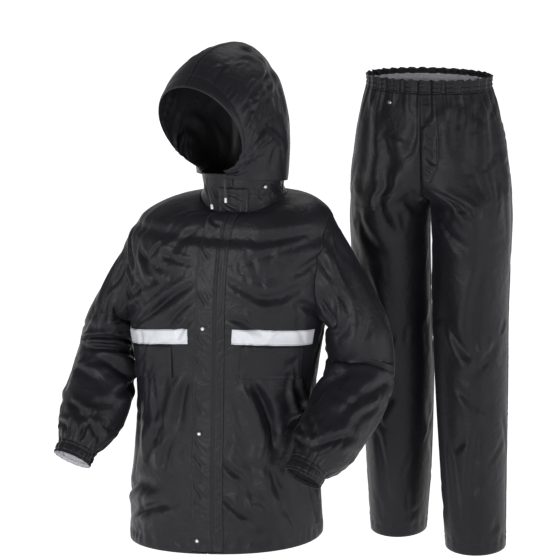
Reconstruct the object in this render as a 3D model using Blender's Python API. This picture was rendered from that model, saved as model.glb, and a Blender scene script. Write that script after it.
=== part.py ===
"""Two-piece rain suit in metres, +Z up: a hooded jacket and a pair of trousers, filled out with no wearer.

Both face -Y. The origin is inside the jacket's neck, at the height of the shoulder seams. Wearer's
right is at -X. Every cut piece is a wall of cloth, open where the garment is open.
"""
import bpy
import bmesh
import numpy as np
from mathutils import Vector

# Cloth and seams
CLOTH = 0.0016
SEAM_GAP = 0.0004
LAY_GAP = 0.0004

# Jacket body, in rings from the hem to the neck seam.
# Place 0 is the hem and 1 the neck seam; tilt is the rise for each metre towards +X.
JACKET_RINGS = [
    # place, height, centre_x, half_width, front_depth, back_depth, tilt, front_lift
    (0.00, -0.745, -0.041, 0.209, 0.153, 0.139, 0.060, 0.000),
    (0.16, -0.624, -0.042, 0.203, 0.150, 0.135, 0.055, 0.006),
    (0.38, -0.450, -0.040, 0.190, 0.143, 0.127, 0.050, 0.018),
    (0.58, -0.310, -0.036, 0.203, 0.146, 0.132, 0.050, 0.023),
    (0.70, -0.225, -0.034, 0.215, 0.145, 0.134, 0.055, 0.022),
    (0.80, -0.145, -0.031, 0.224, 0.138, 0.133, 0.060, 0.016),
    (0.88, -0.078, -0.026, 0.218, 0.124, 0.124, 0.060, 0.006),
    (0.93, -0.037, -0.018, 0.192, 0.110, 0.111, 0.060, 0.000),
    (0.97, -0.010, -0.008, 0.143, 0.098, 0.098, 0.045, -0.018),
    (1.00, -0.001, 0.000, 0.088, 0.089, 0.088, 0.020, -0.032),
]
COLLAR_RINGS = [
    # place, height, centre_x, half_width, front_depth, back_depth, tilt, front_lift
    (0.00, -0.001, 0.000, 0.088, 0.089, 0.088, 0.020, -0.032),
    (0.30, 0.010, 0.000, 0.082, 0.086, 0.084, 0.000, -0.018),
    (1.00, 0.044, 0.000, 0.086, 0.090, 0.086, 0.000, 0.010),
]
FULLNESS = 0.90
UNDERARM_PLACE = 0.635
TIP_PLACE = 0.915
ARMHOLE_TURN = 27.0
BODY_PLACES = [0.0, 0.055, 0.110, 0.170, 0.230, 0.290, 0.350, 0.410, 0.470, 0.5215, 0.573, 0.6185, 0.635]
ARMHOLE_ROWS = 9
SHOULDER_ROWS = 4
FRONT_COLUMNS = 9
BACK_COLUMNS = 18
FRONT_GAP_TURN = 0.25

# Large creases of the jacket body: from one point to another, round the body in degrees and at a height.
BODY_DEGREE = 0.0031  # metres round the body for one degree
BODY_CREASES = [
    # turn_from, height_from, turn_to, height_to, half_width, depth
    (-66, -0.120, -24, -0.250, 0.020, 0.006),
    (-62, -0.200, -30, -0.285, 0.018, 0.005),
    (60, -0.130, 26, -0.240, 0.020, 0.005),
    (-70, -0.420, -30, -0.480, 0.024, 0.005),
    (72, -0.400, 34, -0.455, 0.024, 0.006),
    (78, -0.480, 30, -0.560, 0.024, 0.005),
    (-78, -0.540, -34, -0.610, 0.026, 0.005),
    (120, -0.140, 160, -0.260, 0.022, 0.006),
    (-120, -0.130, -158, -0.240, 0.022, 0.006),
    (110, -0.430, 165, -0.470, 0.026, 0.006),
    (-112, -0.440, -160, -0.500, 0.026, 0.006),
]

# Sleeves, from the middle of the armhole to the cuff seam
SLEEVE_RIGHT = [
    # place, centre_x, centre_y, centre_z, half_wide, half_deep
    (0.00, -0.240, 0.002, -0.155, 0.074, 0.098),
    (0.15, -0.274, 0.002, -0.216, 0.054, 0.086),
    (0.32, -0.294, 0.000, -0.288, 0.050, 0.078),
    (0.47, -0.301, -0.012, -0.348, 0.057, 0.071),
    (0.60, -0.300, -0.044, -0.400, 0.067, 0.068),
    (0.74, -0.303, -0.087, -0.455, 0.071, 0.064),
    (0.88, -0.315, -0.122, -0.502, 0.061, 0.056),
    (1.00, -0.326, -0.146, -0.535, 0.041, 0.041),
    (1.10, -0.333, -0.162, -0.557, 0.040, 0.040),
]
SLEEVE_LEFT = [
    # place, centre_x, centre_y, centre_z, half_wide, half_deep
    (0.00, 0.184, 0.002, -0.140, 0.074, 0.098),
    (0.15, 0.226, 0.004, -0.208, 0.061, 0.086),
    (0.32, 0.242, 0.010, -0.288, 0.068, 0.079),
    (0.46, 0.249, 0.010, -0.358, 0.071, 0.073),
    (0.60, 0.246, -0.044, -0.408, 0.073, 0.071),
    (0.74, 0.224, -0.104, -0.456, 0.072, 0.069),
    (0.88, 0.201, -0.150, -0.503, 0.062, 0.059),
    (1.00, 0.182, -0.178, -0.530, 0.041, 0.041),
    (1.10, 0.173, -0.194, -0.550, 0.040, 0.040),
]
SLEEVE_ROWS = 20
SLEEVE_ROW_POWER = 1.05  # rows lie a little closer near the armhole
SLEEVE_OUT = 0.25  # how far the outer line of a sleeve leans up
ARMHOLE_REACH = 0.34
SLEEVE_CREASES_RIGHT = [
    # turn_from, place_from, turn_to, place_to, half_turn, half_length, depth
    (60, 0.44, 150, 0.47, 30, 0.020, 0.008),
    (40, 0.52, 130, 0.54, 30, 0.018, 0.005),
    (30, 0.16, 110, 0.26, 26, 0.020, 0.005),
    (20, 0.74, 100, 0.82, 30, 0.020, 0.006),
    (200, 0.78, 300, 0.72, 30, 0.020, 0.006),
]
SLEEVE_CREASES_LEFT = [
    # turn_from, place_from, turn_to, place_to, half_turn, half_length, depth
    (-20, 0.47, 170, 0.49, 30, 0.018, 0.011),
    (40, 0.14, 120, 0.24, 26, 0.020, 0.005),
    (20, 0.62, 120, 0.72, 30, 0.022, 0.007),
    (10, 0.78, 110, 0.86, 30, 0.020, 0.006),
    (200, 0.80, 300, 0.74, 30, 0.020, 0.006),
]

# Cuffs: elastic bands gathered all round
CUFF_GATHERS = 16
CUFF_GATHER_DEPTH = 0.0022
CUFF_ROWS = 3
CUFF_END_PLACE = 1.1
CUFF_FLATTER = 0.8  # gathers at the open end, as a part of those at the seam

# Hood: arches that all start and end beside the chin, fanned from the face edge over the crown to
# the neck. Rise is the angle of each arch from level, reach how far its middle is from the chin.
HOOD_YAW = 24.0
HOOD_ARCHES = [
    # place, chin_forward, chin_height, rise, reach, half_width, chin_turn
    (0.00, 0.103, 0.064, 66.0, 0.192, 0.104, 163.0),
    (0.12, 0.102, 0.062, 79.0, 0.222, 0.109, 163.0),
    (0.30, 0.101, 0.060, 98.0, 0.248, 0.107, 162.0),
    (0.45, 0.100, 0.058, 111.0, 0.262, 0.102, 162.0),
    (0.62, 0.099, 0.056, 127.0, 0.254, 0.098, 161.0),
    (0.80, 0.098, 0.053, 150.0, 0.222, 0.095, 160.0),
    (0.92, 0.097, 0.050, 173.0, 0.196, 0.0935, 160.0),
    (1.00, 0.096, 0.048, 188.0, 0.1880, 0.0935, 160.0),
]
HOOD_ROWS = 13
HOOD_COLUMNS = 11
HOOD_PEAK = 0.035
HOOD_PEAK_WIDE = 0.42
HOOD_PEAK_FROM = 0.25  # place where the peak has its full height
HOOD_PEAK_TO = 0.35  # length of its fade at the back of the neck
HOOD_SEAM_STEP = 0.03

# Storm flap over the front opening
FLAP_HALF_WIDTH_TOP = 0.030
FLAP_HALF_WIDTH_HEM = 0.034
FLAP_COLUMNS = 4
FLAP_COLLAR_ROWS = 3
FLAP_HEM_LIFT = 0.004
FLAP_COLLAR_LIFT = 0.0014
FLAP_SNAP_PLACES = [
    # height, across
    (-0.258, -0.012),
    (-0.484, -0.016),
    (-0.716, -0.020),
]

# Reflective tape and the flap under it, on each front
TAPE_ROWS = (10, 11)
TAPE_TURNS = [
    # name, turn_from, turn_to
    ("tape_left", 11.2, 72.0),
    ("tape_right", -87.0, -11.2),
]
CHEST_FLAP_ROWS = (8.0, 9.0, 9.9)
CHEST_FLAP_TURNS = [
    # name, turn_from, turn_to
    ("chest_flap_left", 17.0, 62.0),
    ("chest_flap_right", -66.0, -22.0),
]
TAPE_THICK = 0.0010
TAPE_LIFT = 0.0005  # keeps the tape clear of the panel's facets

# Snaps and cords
SNAP_RADIUS = 0.0055
SNAP_HEIGHT = 0.0022
COLLAR_SNAP_TURN = 46.0
SNAP_GAP = 0.0007
CORD_WIDE = 0.0036
CORD_END_WIDE = 0.0056
CORD_END_LONG = 0.010
CORD_LEFT = [
    # x, y, z
    (-0.0130, -0.1035, 0.0440), (-0.0135, -0.1040, 0.0350), (-0.0125, -0.1045, 0.0250),
    (-0.0115, -0.1046, 0.0150), (-0.0110, -0.1052, 0.0075),
]
CORD_RIGHT = [
    # x, y, z
    (-0.0560, -0.0860, 0.0440), (-0.0545, -0.0900, 0.0340), (-0.0515, -0.0940, 0.0230),
    (-0.0475, -0.0975, 0.0120), (-0.0440, -0.1000, 0.0010), (-0.0415, -0.1030, -0.0080),
]

# Trousers, in rings from the waist casing's seam to the crotch. Spread is how far each half closes
# round its own leg: 90 is open to the other half, 180 closed at the inner leg.
TROUSER_CENTRE_Y = 0.240
RISE_RINGS = [
    # place, height, centre_x, half_width, front_depth, back_depth, spread
    (0.000, 0.1980, 0.3430, 0.1340, 0.1000, 0.1000, 90.0),
    (0.040, 0.1680, 0.3440, 0.1430, 0.1060, 0.1070, 90.0),
    (0.120, 0.1000, 0.3475, 0.1590, 0.1140, 0.1190, 91.0),
    (0.190, 0.0300, 0.3500, 0.1680, 0.1180, 0.1240, 100.0),
    (0.230, -0.0100, 0.3510, 0.1715, 0.1190, 0.1240, 120.0),
    (0.265, -0.0450, 0.3520, 0.1720, 0.1180, 0.1220, 180.0),
]
LEG_RIGHT = [
    # place, height, centre_x, centre_y, half_wide, half_deep
    (0.265, -0.045, 0.2660, 0.240, 0.0860, 0.1200),
    (0.310, -0.085, 0.2630, 0.245, 0.0850, 0.1150),
    (0.430, -0.250, 0.2670, 0.261, 0.0820, 0.1040),
    (0.640, -0.450, 0.2760, 0.275, 0.0790, 0.0950),
    (0.830, -0.650, 0.2790, 0.288, 0.0715, 0.0880),
    (1.000, -0.806, 0.2775, 0.300, 0.0620, 0.0780),
]
LEG_LEFT = [
    # place, height, centre_x, centre_y, half_wide, half_deep
    (0.265, -0.045, 0.4380, 0.240, 0.0860, 0.1200),
    (0.310, -0.085, 0.4410, 0.239, 0.0850, 0.1150),
    (0.430, -0.250, 0.4420, 0.233, 0.0820, 0.1040),
    (0.640, -0.450, 0.4490, 0.226, 0.0780, 0.0950),
    (0.830, -0.650, 0.4575, 0.222, 0.0710, 0.0880),
    (1.000, -0.806, 0.4650, 0.220, 0.0655, 0.0780),
]
RISE_ROWS = 9
LEG_ROWS = 11
LEG_ROW_POWER = 1.1  # rows lie a little closer near the crotch
CROTCH_PLACE = 0.265
TROUSER_COLUMNS = 13
WAIST_GATHERS = 26
WAIST_GATHER_DEPTH = 0.0050
WAIST_GATHER_REACH = 0.040  # how far down the gathers fade
GATHERED = 0.05  # share of a gather above which a row keeps it at the seams
CASING_NARROW = [1.0, 0.985, 0.995]  # width of the casing at its seam, its elastic and its top
CASING_TOP = 0.2260
CASING_ROWS = 2
LEG_DEGREE = 0.0016  # metres round a leg for one degree
SEAM_CALM = 1.5  # columns beside a seam in which creases fade
TROUSER_CREASES = [
    # side, turn_from, height_from, turn_to, height_to, half_width, depth
    (1, -70, 0.130, -60, -0.060, 0.018, 0.006),
    (1, -36, 0.160, -40, -0.080, 0.018, 0.005),
    (-1, -60, 0.120, -66, -0.050, 0.018, 0.005),
    (-1, -40, 0.000, -80, -0.120, 0.022, 0.006),
    (1, -100, -0.060, -50, -0.150, 0.022, 0.006),
    (1, -90, -0.380, -30, -0.430, 0.024, 0.005),
    (-1, -90, -0.420, -30, -0.470, 0.024, 0.005),
    (1, 60, 0.100, 70, -0.080, 0.020, 0.006),
    (-1, 60, 0.100, 70, -0.080, 0.020, 0.006),
    (1, 40, -0.400, 110, -0.440, 0.024, 0.006),
    (-1, 40, -0.430, 110, -0.470, 0.024, 0.006),
]
FLY_LIFT = 0.0014
FLY_ROWS = range(1, 8)
FLY_COLUMNS = (0.3, 1.0, 2.0)
FLY_CURVE_ROW = 5  # row where the fly's edge begins to turn to the centre
FLY_CURVE = 0.75
WAIST_SNAP_PLACE = (1.0, 4.0)  # row and column of the right half

# Colours
SHELL_BLACK = (0.030, 0.029, 0.035, 1.0)
TROUSER_BLACK = (0.020, 0.020, 0.026, 1.0)
TAPE_GREY = (0.62, 0.61, 0.66, 1.0)
SNAP_GREY = (0.42, 0.42, 0.44, 1.0)
CORD_BLACK = (0.035, 0.034, 0.040, 1.0)
CORD_END_GREY = (0.70, 0.70, 0.72, 1.0)


def clear_scene():
    """Takes the objects of the open scene away."""
    for thing in list(bpy.data.objects):
        bpy.data.objects.remove(thing, do_unlink=True)


def material(name, colour, rough, metallic):
    """Makes one plain material."""
    made = bpy.data.materials.new(name)
    made.use_nodes = True
    shader = made.node_tree.nodes["Principled BSDF"]
    shader.inputs["Base Color"].default_value = colour
    shader.inputs["Roughness"].default_value = rough
    shader.inputs["Metallic"].default_value = metallic
    made.diffuse_color = colour
    return made


def between(table, at):
    """Gives the sizes at places between the rows of a table, on smooth curves."""
    rows = np.array(table, float)
    place = rows[:, 0]
    at = np.clip(np.asarray(at, float), place[0], place[-1])
    step = np.diff(place)
    rise = np.diff(rows, axis=0) / step[:, None]
    slope = np.zeros_like(rows)
    slope[0] = rise[0]
    slope[-1] = rise[-1]
    both = (step[:-1] + step[1:])[:, None]
    slope[1:-1] = (rise[:-1] * step[1:, None] + rise[1:] * step[:-1, None]) / both
    low = np.clip(np.searchsorted(place, at, side="right") - 1, 0, len(step) - 1)
    t = ((at - place[low]) / step[low])[..., None]
    span = step[low][..., None]
    start = (2 * t ** 3 - 3 * t ** 2 + 1) * rows[low] + (t ** 3 - 2 * t ** 2 + t) * span * slope[low]
    end = (3 * t ** 2 - 2 * t ** 3) * rows[low + 1] + (t ** 3 - t ** 2) * span * slope[low + 1]
    return np.moveaxis(start + end, -1, 0)


def unit(vectors):
    """Gives vectors the length one."""
    size = np.linalg.norm(vectors, axis=-1, keepdims=True)
    return vectors / np.maximum(size, 1e-12)


def smooth(t):
    """Runs from 0 to 1 with soft ends."""
    t = np.clip(t, 0.0, 1.0)
    return t * t * (3.0 - 2.0 * t)


def rounded(value, power):
    """Keeps the sign of a value and raises its size to a power."""
    return np.sign(value) * np.abs(value) ** power


def crease(across, along, row_from, row_to, half_width, depth):
    """Gives how far a straight soft crease sinks at points of a surface."""
    start = np.array(row_from, float)
    way = np.array(row_to, float) - start
    length = float(np.hypot(way[0], way[1]))
    way = way / length
    run = (across - start[0]) * way[0] + (along - start[1]) * way[1]
    off = (across - start[0]) * way[1] - (along - start[1]) * way[0]
    t = run / length
    fade = smooth((t + 0.25) / 0.5) * smooth((1.25 - t) / 0.5)
    return -depth * fade * np.exp(-(off / half_width) ** 2)


def ring_point(table, place, turn):
    """Gives points of a garment ring table at a place and a turn round the body in degrees."""
    place = np.asarray(place, float)
    turn = np.radians(np.asarray(turn, float))
    _, height, centre, wide, front, back, tilt, lift = between(table, place)
    across = wide * rounded(np.sin(turn), FULLNESS)
    ahead = np.cos(turn)
    depth = np.where(ahead > 0, front, back) * rounded(ahead, FULLNESS)
    up = height + tilt * across + lift * np.maximum(ahead, 0.0) ** 2
    return np.stack([centre + across, -depth, up], axis=-1)


def normal_of(surface, a, b, step_a, step_b):
    """Gives the outward normal of a surface function."""
    along = surface(a + step_a, b) - surface(a - step_a, b)
    round_it = surface(a, b + step_b) - surface(a, b - step_b)
    return unit(np.cross(round_it, along))


def jacket_plain(place, turn):
    """Gives the jacket body with no creases."""
    return ring_point(JACKET_RINGS, place, turn)


def jacket(place, turn):
    """Gives the jacket body with its large creases."""
    points = jacket_plain(place, turn)
    normal = normal_of(jacket_plain, place, turn, 0.004, 0.4)
    turned = (np.asarray(turn, float) + 180.0) % 360.0 - 180.0
    across = turned * BODY_DEGREE
    sink = np.zeros(points.shape[:-1])
    for turn_a, high_a, turn_b, high_b, half, depth in BODY_CREASES:
        ends = (turn_a * BODY_DEGREE, high_a), (turn_b * BODY_DEGREE, high_b)
        sink = sink + crease(across, points[..., 2], ends[0], ends[1], half, depth)
    return points + normal * sink[..., None]


def jacket_normal(place, turn):
    """Gives the outward normal of the creased jacket body."""
    return normal_of(jacket, place, turn, 0.004, 0.4)


def collar(place, turn):
    """Gives the stand collar."""
    return ring_point(COLLAR_RINGS, place, turn)


def collar_normal(place, turn):
    """Gives the outward normal of the collar."""
    return normal_of(collar, place, turn, 0.004, 0.4)


def pull_in(mid, edges, gap=SEAM_GAP / 2):
    """Moves the named edges of a panel in by half of the seam gap."""
    mid = mid.copy()
    if "top" in edges:
        mid[-1] += unit(mid[-2] - mid[-1]) * gap
    if "bottom" in edges:
        mid[0] += unit(mid[1] - mid[0]) * gap
    if "first" in edges:
        mid[:, 0] += unit(mid[:, 1] - mid[:, 0]) * gap
    if "last" in edges:
        mid[:, -1] += unit(mid[:, -2] - mid[:, -1]) * gap
    return mid


def add_mesh(name, points, faces, look, home, shade=True):
    """Makes one object from points and faces, turned outwards."""
    mesh = bpy.data.meshes.new(name)
    mesh.from_pydata([tuple(float(v) for v in p) for p in points], [], faces)
    mesh.materials.append(look)
    work = bmesh.new()
    work.from_mesh(mesh)
    bmesh.ops.recalc_face_normals(work, faces=work.faces)
    if work.calc_volume(signed=True) < 0:
        bmesh.ops.reverse_faces(work, faces=work.faces)
    work.to_mesh(mesh)
    work.free()
    for face in mesh.polygons:
        face.use_smooth = shade
    made = bpy.data.objects.new(name, mesh)
    home.objects.link(made)
    return made


def wall(name, mid, normal, look, home, closed=False, thick=CLOTH):
    """Makes a cloth wall from a grid of middle points and their normals."""
    rows, columns = mid.shape[:2]
    count = rows * columns
    outer = (mid + normal * thick / 2).reshape(-1, 3)
    inner = (mid - normal * thick / 2).reshape(-1, 3)
    points = np.concatenate([outer, inner])
    faces = []
    last = columns if closed else columns - 1
    for r in range(rows - 1):
        for c in range(last):
            n = (c + 1) % columns
            quad = (r * columns + c, r * columns + n, (r + 1) * columns + n, (r + 1) * columns + c)
            faces.append(quad)
            faces.append(tuple(count + q for q in reversed(quad)))
    for c in range(last):
        n = (c + 1) % columns
        top = (rows - 1) * columns
        faces.append((n, c, count + c, count + n))
        faces.append((top + c, top + n, count + top + n, count + top + c))
    if not closed:
        for r in range(rows - 1):
            low = r * columns
            high = (r + 1) * columns
            end = columns - 1
            faces.append((low, high, count + high, count + low))
            faces.append((high + end, low + end, count + low + end, count + high + end))
    return add_mesh(name, points, faces, look, home)


def jacket_places():
    """Gives the places of the body's rows and how far the armhole turns each edge back."""
    body = list(BODY_PLACES)
    turns = [0.0] * len(body)
    for i in range(1, ARMHOLE_ROWS + 1):
        way = i / ARMHOLE_ROWS
        body.append(UNDERARM_PLACE + (TIP_PLACE - UNDERARM_PLACE) * (1 - np.cos(np.pi * way)) / 2)
        turns.append(ARMHOLE_TURN * np.sin(np.pi * way))
    for i in range(1, SHOULDER_ROWS + 1):
        body.append(TIP_PLACE + (1.0 - TIP_PLACE) * i / SHOULDER_ROWS)
        turns.append(0.0)
    return np.array(body), np.array(turns)


def armhole_loop(side):
    """Gives the armhole from the shoulder tip down the front and up the back, with its normals."""
    places, turns = jacket_places()
    first = len(BODY_PLACES) - 1
    last = len(BODY_PLACES) - 1 + ARMHOLE_ROWS
    order = list(range(last, first, -1)) + list(range(first, last))
    front = [True] * (ARMHOLE_ROWS + 1) + [False] * (ARMHOLE_ROWS - 1)
    place = places[order]
    turn = np.array([90 - turns[i] if f else 90 + turns[i] for i, f in zip(order, front)])
    return jacket(place, side * turn), jacket_normal(place, side * turn)


def body_panel(turn_from, turn_to, columns):
    """Gives a body panel's grid between two edge turns for each row."""
    places, _ = jacket_places()
    ways = np.linspace(0.0, 1.0, columns + 1)
    turn = turn_from[:, None] + (turn_to - turn_from)[:, None] * ways[None, :]
    place = np.repeat(places[:, None], columns + 1, axis=1)
    return jacket(place, turn), jacket_normal(place, turn)


def neck_normal(turn):
    """Gives the normal shared by body and collar at the neck seam."""
    turn = np.asarray(turn, float)
    body = jacket_normal(np.full(turn.shape, 1.0), turn)
    stand = collar_normal(np.full(turn.shape, 0.0), turn)
    return unit(body + stand)


def arm_frame(table, place, side):
    """Gives the middle line of a sleeve and the two directions across it."""
    _, x, y, z, wide, deep = between(table, place)
    step = 0.01
    ahead = np.stack(between(table, place + step)[1:4], axis=-1)
    behind = np.stack(between(table, place - step)[1:4], axis=-1)
    axis = unit(ahead - behind)
    outward = np.array([side * 1.0, 0.0, SLEEVE_OUT])
    out = unit(outward - axis * (axis @ outward)[..., None])
    front = unit(np.cross(axis, out)) * side
    front = np.where((front[..., 1:2] > 0), -front, front)
    return np.stack([x, y, z], axis=-1), out, front, wide, deep


def sleeve_ring(table, place, turns, side):
    """Gives rings of a sleeve: turn 0 is the outer line from the shoulder tip, 90 its front."""
    centre, out, front, wide, deep = arm_frame(table, place, side)
    angle = np.radians(turns)[None, :, None]
    across = out[:, None, :] * np.cos(angle) * wide[:, None, None]
    ahead = front[:, None, :] * np.sin(angle) * deep[:, None, None]
    return centre[:, None, :] + across + ahead


def round_normals(mid):
    """Gives the outward normals of a grid that closes on itself."""
    round_it = np.roll(mid, -1, axis=1) - np.roll(mid, 1, axis=1)
    along = np.gradient(mid, axis=0)
    normal = unit(np.cross(round_it, along))
    centre = mid.mean(axis=1, keepdims=True)
    sign = np.sign(np.sum(normal * (mid - centre), axis=(1, 2), keepdims=True))
    return normal * sign


def make_sleeve(name, table, creases, side, look, home):
    """Makes one sleeve, from the armhole seam to the cuff seam."""
    loop, loop_normal = armhole_loop(side)
    count = len(loop)
    turns = np.arange(count) * 360.0 / count
    place = np.linspace(0.0, 1.0, SLEEVE_ROWS + 1) ** SLEEVE_ROW_POWER
    mid = sleeve_ring(table, place, turns, side)
    keep = 1.0 - smooth(place / ARMHOLE_REACH)
    mid = mid + keep[:, None, None] * (loop - mid[0])[None]
    normal = round_normals(mid)
    sink = np.zeros(mid.shape[:2])
    for turn_a, place_a, turn_b, place_b, half_turn, half_long, depth in creases:
        for shift in (-360.0, 0.0, 360.0):
            across = (turns[None, :] + shift) / half_turn * half_long
            ends = (turn_a / half_turn * half_long, place_a), (turn_b / half_turn * half_long, place_b)
            sink = sink + crease(across, place[:, None], ends[0], ends[1], half_long, depth)
    mid = mid + normal * sink[..., None]
    normal = round_normals(mid)
    shared = unit(normal[0] + loop_normal)
    normal[0] = shared
    centre, out, front, _, _ = arm_frame(table, np.array([1.0]), side)
    axis = unit(np.cross(out[0], front[0]))
    flat = mid[-1] - centre[0]
    normal[-1] = unit(flat - axis * (flat @ axis)[:, None])
    mid = pull_in(mid, ("bottom", "top"))
    return wall(name, mid, normal, look, home, closed=True)


def make_cuff(name, table, side, look, home):
    """Makes one gathered cuff band."""
    count = CUFF_GATHERS * 2
    turns = np.arange(count) * 360.0 / count
    place = np.linspace(1.0, CUFF_END_PLACE, CUFF_ROWS + 1)
    mid = sleeve_ring(table, place, turns, side)
    centre = mid.mean(axis=1, keepdims=True)
    outward = unit(mid - centre)
    zigzag = np.where(np.arange(count) % 2 == 0, 1.0, -1.0)
    depth = CUFF_GATHER_DEPTH / 2 * np.linspace(1.0, CUFF_FLATTER, CUFF_ROWS + 1)
    mid = mid + outward * (zigzag[None, :] * depth[:, None])[..., None]
    mid = pull_in(mid, ("bottom",))
    return wall(name, mid, outward, look, home, closed=True)


def hood(place, turn):
    """Gives the hood: turn 0 is the middle line over the crown, plus or minus 1 beside the chin."""
    place = np.asarray(place, float)
    _, ahead, height, rise, reach, wide, chin = between(HOOD_ARCHES, place)
    way = np.radians(chin) * np.asarray(turn, float)
    open_cos = np.cos(np.radians(chin))
    far = (np.cos(way) - open_cos) / (1.0 - open_cos) * reach
    across = wide * np.sin(way)
    peak = HOOD_PEAK * reach * np.exp(-(way / HOOD_PEAK_WIDE) ** 2) * smooth((1.0 - place) / HOOD_PEAK_TO)
    far = far + peak * smooth(place / HOOD_PEAK_FROM)
    rise = np.radians(rise)
    forward = ahead + far * np.cos(rise)
    up = height + far * np.sin(rise)
    yaw = np.radians(HOOD_YAW)
    x = -forward * np.sin(yaw) + across * np.cos(yaw)
    y = -forward * np.cos(yaw) - across * np.sin(yaw)
    return np.stack([x, y, up], axis=-1)


def hood_normal(place, turn):
    """Gives the inward normal of the hood, the side on which its grid runs the other way round."""
    return -normal_of(hood, place, turn, 0.006, 0.006)


def make_hood_half(name, side, look, home):
    """Makes one half of the hood, from the centre seam to the chin."""
    ways = np.linspace(0.0, 1.0, HOOD_COLUMNS + 1)
    turn = np.repeat((side * ways)[None, :], HOOD_ROWS + 1, axis=0)
    place = np.repeat(np.linspace(0.0, 1.0, HOOD_ROWS + 1)[:, None], HOOD_COLUMNS + 1, axis=1)
    mid = hood(place, turn)
    normal = hood_normal(place, turn)
    before = hood_normal(place[:, 0], turn[:, 0] - HOOD_SEAM_STEP)
    normal[:, 0] = unit(before + hood_normal(place[:, 0], turn[:, 0] + HOOD_SEAM_STEP))
    mid = pull_in(mid, ("first",))
    return wall(name, mid, normal, look, home)


def along_row(turns, points, at):
    """Gives points at turns along one row of a panel, on the straight lines between its own points."""
    order = np.argsort(turns)
    sorted_turns = turns[order]
    return np.stack([np.interp(at, sorted_turns, points[order, k]) for k in range(3)], axis=-1)


def strip(name, rows, turn_from, turn_to, row_places, lift, thick, look, home):
    """Makes a strip that lies on the jacket's front, from the panel's points moved out."""
    low_turns = rows[0][0]
    inside = low_turns[(low_turns > turn_from + 1) & (low_turns < turn_to - 1)]
    at = np.sort(np.concatenate([[turn_from], inside, [turn_to]]))
    mid = []
    normal = []
    for place in row_places:
        low = int(np.floor(place))
        part = place - low
        turns, points, ways = rows[low]
        point = along_row(turns, points, at)
        way = along_row(turns, ways, at)
        if part > 0:
            turns, points, ways = rows[low + 1]
            point = point * (1 - part) + along_row(turns, points, at) * part
            way = way * (1 - part) + along_row(turns, ways, at) * part
        mid.append(point)
        normal.append(unit(way))
    mid = np.array(mid) + np.array(normal) * lift
    return wall(name, mid, np.array(normal), look, home, thick=thick)


def flap_grid(front_rows, collar_rows):
    """Gives the storm flap's middle points and normals over the body and the collar."""
    ways = np.linspace(-1.0, 1.0, FLAP_COLUMNS + 1)
    mid = []
    normal = []
    places, _ = jacket_places()
    for place, (turns, points, normals) in zip(places, front_rows):
        half = FLAP_HALF_WIDTH_HEM + (FLAP_HALF_WIDTH_TOP - FLAP_HALF_WIDTH_HEM) * place
        wide = between(JACKET_RINGS, place)[3]
        at = np.degrees(np.arcsin((half / wide) ** (1 / FULLNESS))) * ways
        mid.append(along_row(turns, points, at))
        normal.append(unit(along_row(turns, normals, at)))
    for turns, points, normals in collar_rows[1:FLAP_COLLAR_ROWS]:
        wide = COLLAR_RINGS[1][3]
        at = np.degrees(np.arcsin((FLAP_HALF_WIDTH_TOP / wide) ** (1 / FULLNESS))) * ways
        mid.append(along_row(turns, points, at))
        normal.append(unit(along_row(turns, normals, at)))
    mid = np.array(mid)
    mid[0] += unit(mid[1] - mid[0]) * FLAP_HEM_LIFT
    extra = np.zeros(len(mid))
    extra[-FLAP_COLLAR_ROWS:] = FLAP_COLLAR_LIFT
    return mid + np.array(normal) * extra[:, None, None], np.array(normal)


def snap(name, point, normal, look, home):
    """Makes one low round snap cap with a rounded rim."""
    work = bmesh.new()
    bmesh.ops.create_cone(work, cap_ends=True, cap_tris=False, segments=16, radius1=SNAP_RADIUS,
                          radius2=SNAP_RADIUS * 0.94, depth=SNAP_HEIGHT)
    rim = [e for e in work.edges if all(v.co.z > 0 for v in e.verts)]
    bmesh.ops.bevel(work, geom=rim, offset=SNAP_HEIGHT * 0.55, segments=2, affect="EDGES", profile=0.5)
    mesh = bpy.data.meshes.new(name)
    work.to_mesh(mesh)
    work.free()
    mesh.materials.append(look)
    for face in mesh.polygons:
        face.use_smooth = True
    made = bpy.data.objects.new(name, mesh)
    way = Vector([float(v) for v in normal])
    made.rotation_euler = way.to_track_quat("Z", "Y").to_euler()
    made.location = Vector([float(v) for v in point]) + way * (SNAP_HEIGHT / 2)
    home.objects.link(made)
    return made


def cord(name, points, wide, look, home):
    """Makes a round cord through hand-placed points."""
    line = bpy.data.curves.new(name, "CURVE")
    line.dimensions = "3D"
    line.bevel_depth = wide / 2
    line.bevel_resolution = 2
    line.use_fill_caps = True
    run = line.splines.new("POLY")
    run.points.add(len(points) - 1)
    for spot, point in zip(run.points, points):
        spot.co = (point[0], point[1], point[2], 1.0)
    line.materials.append(look)
    made = bpy.data.objects.new(name, line)
    home.objects.link(made)
    return made


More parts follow.
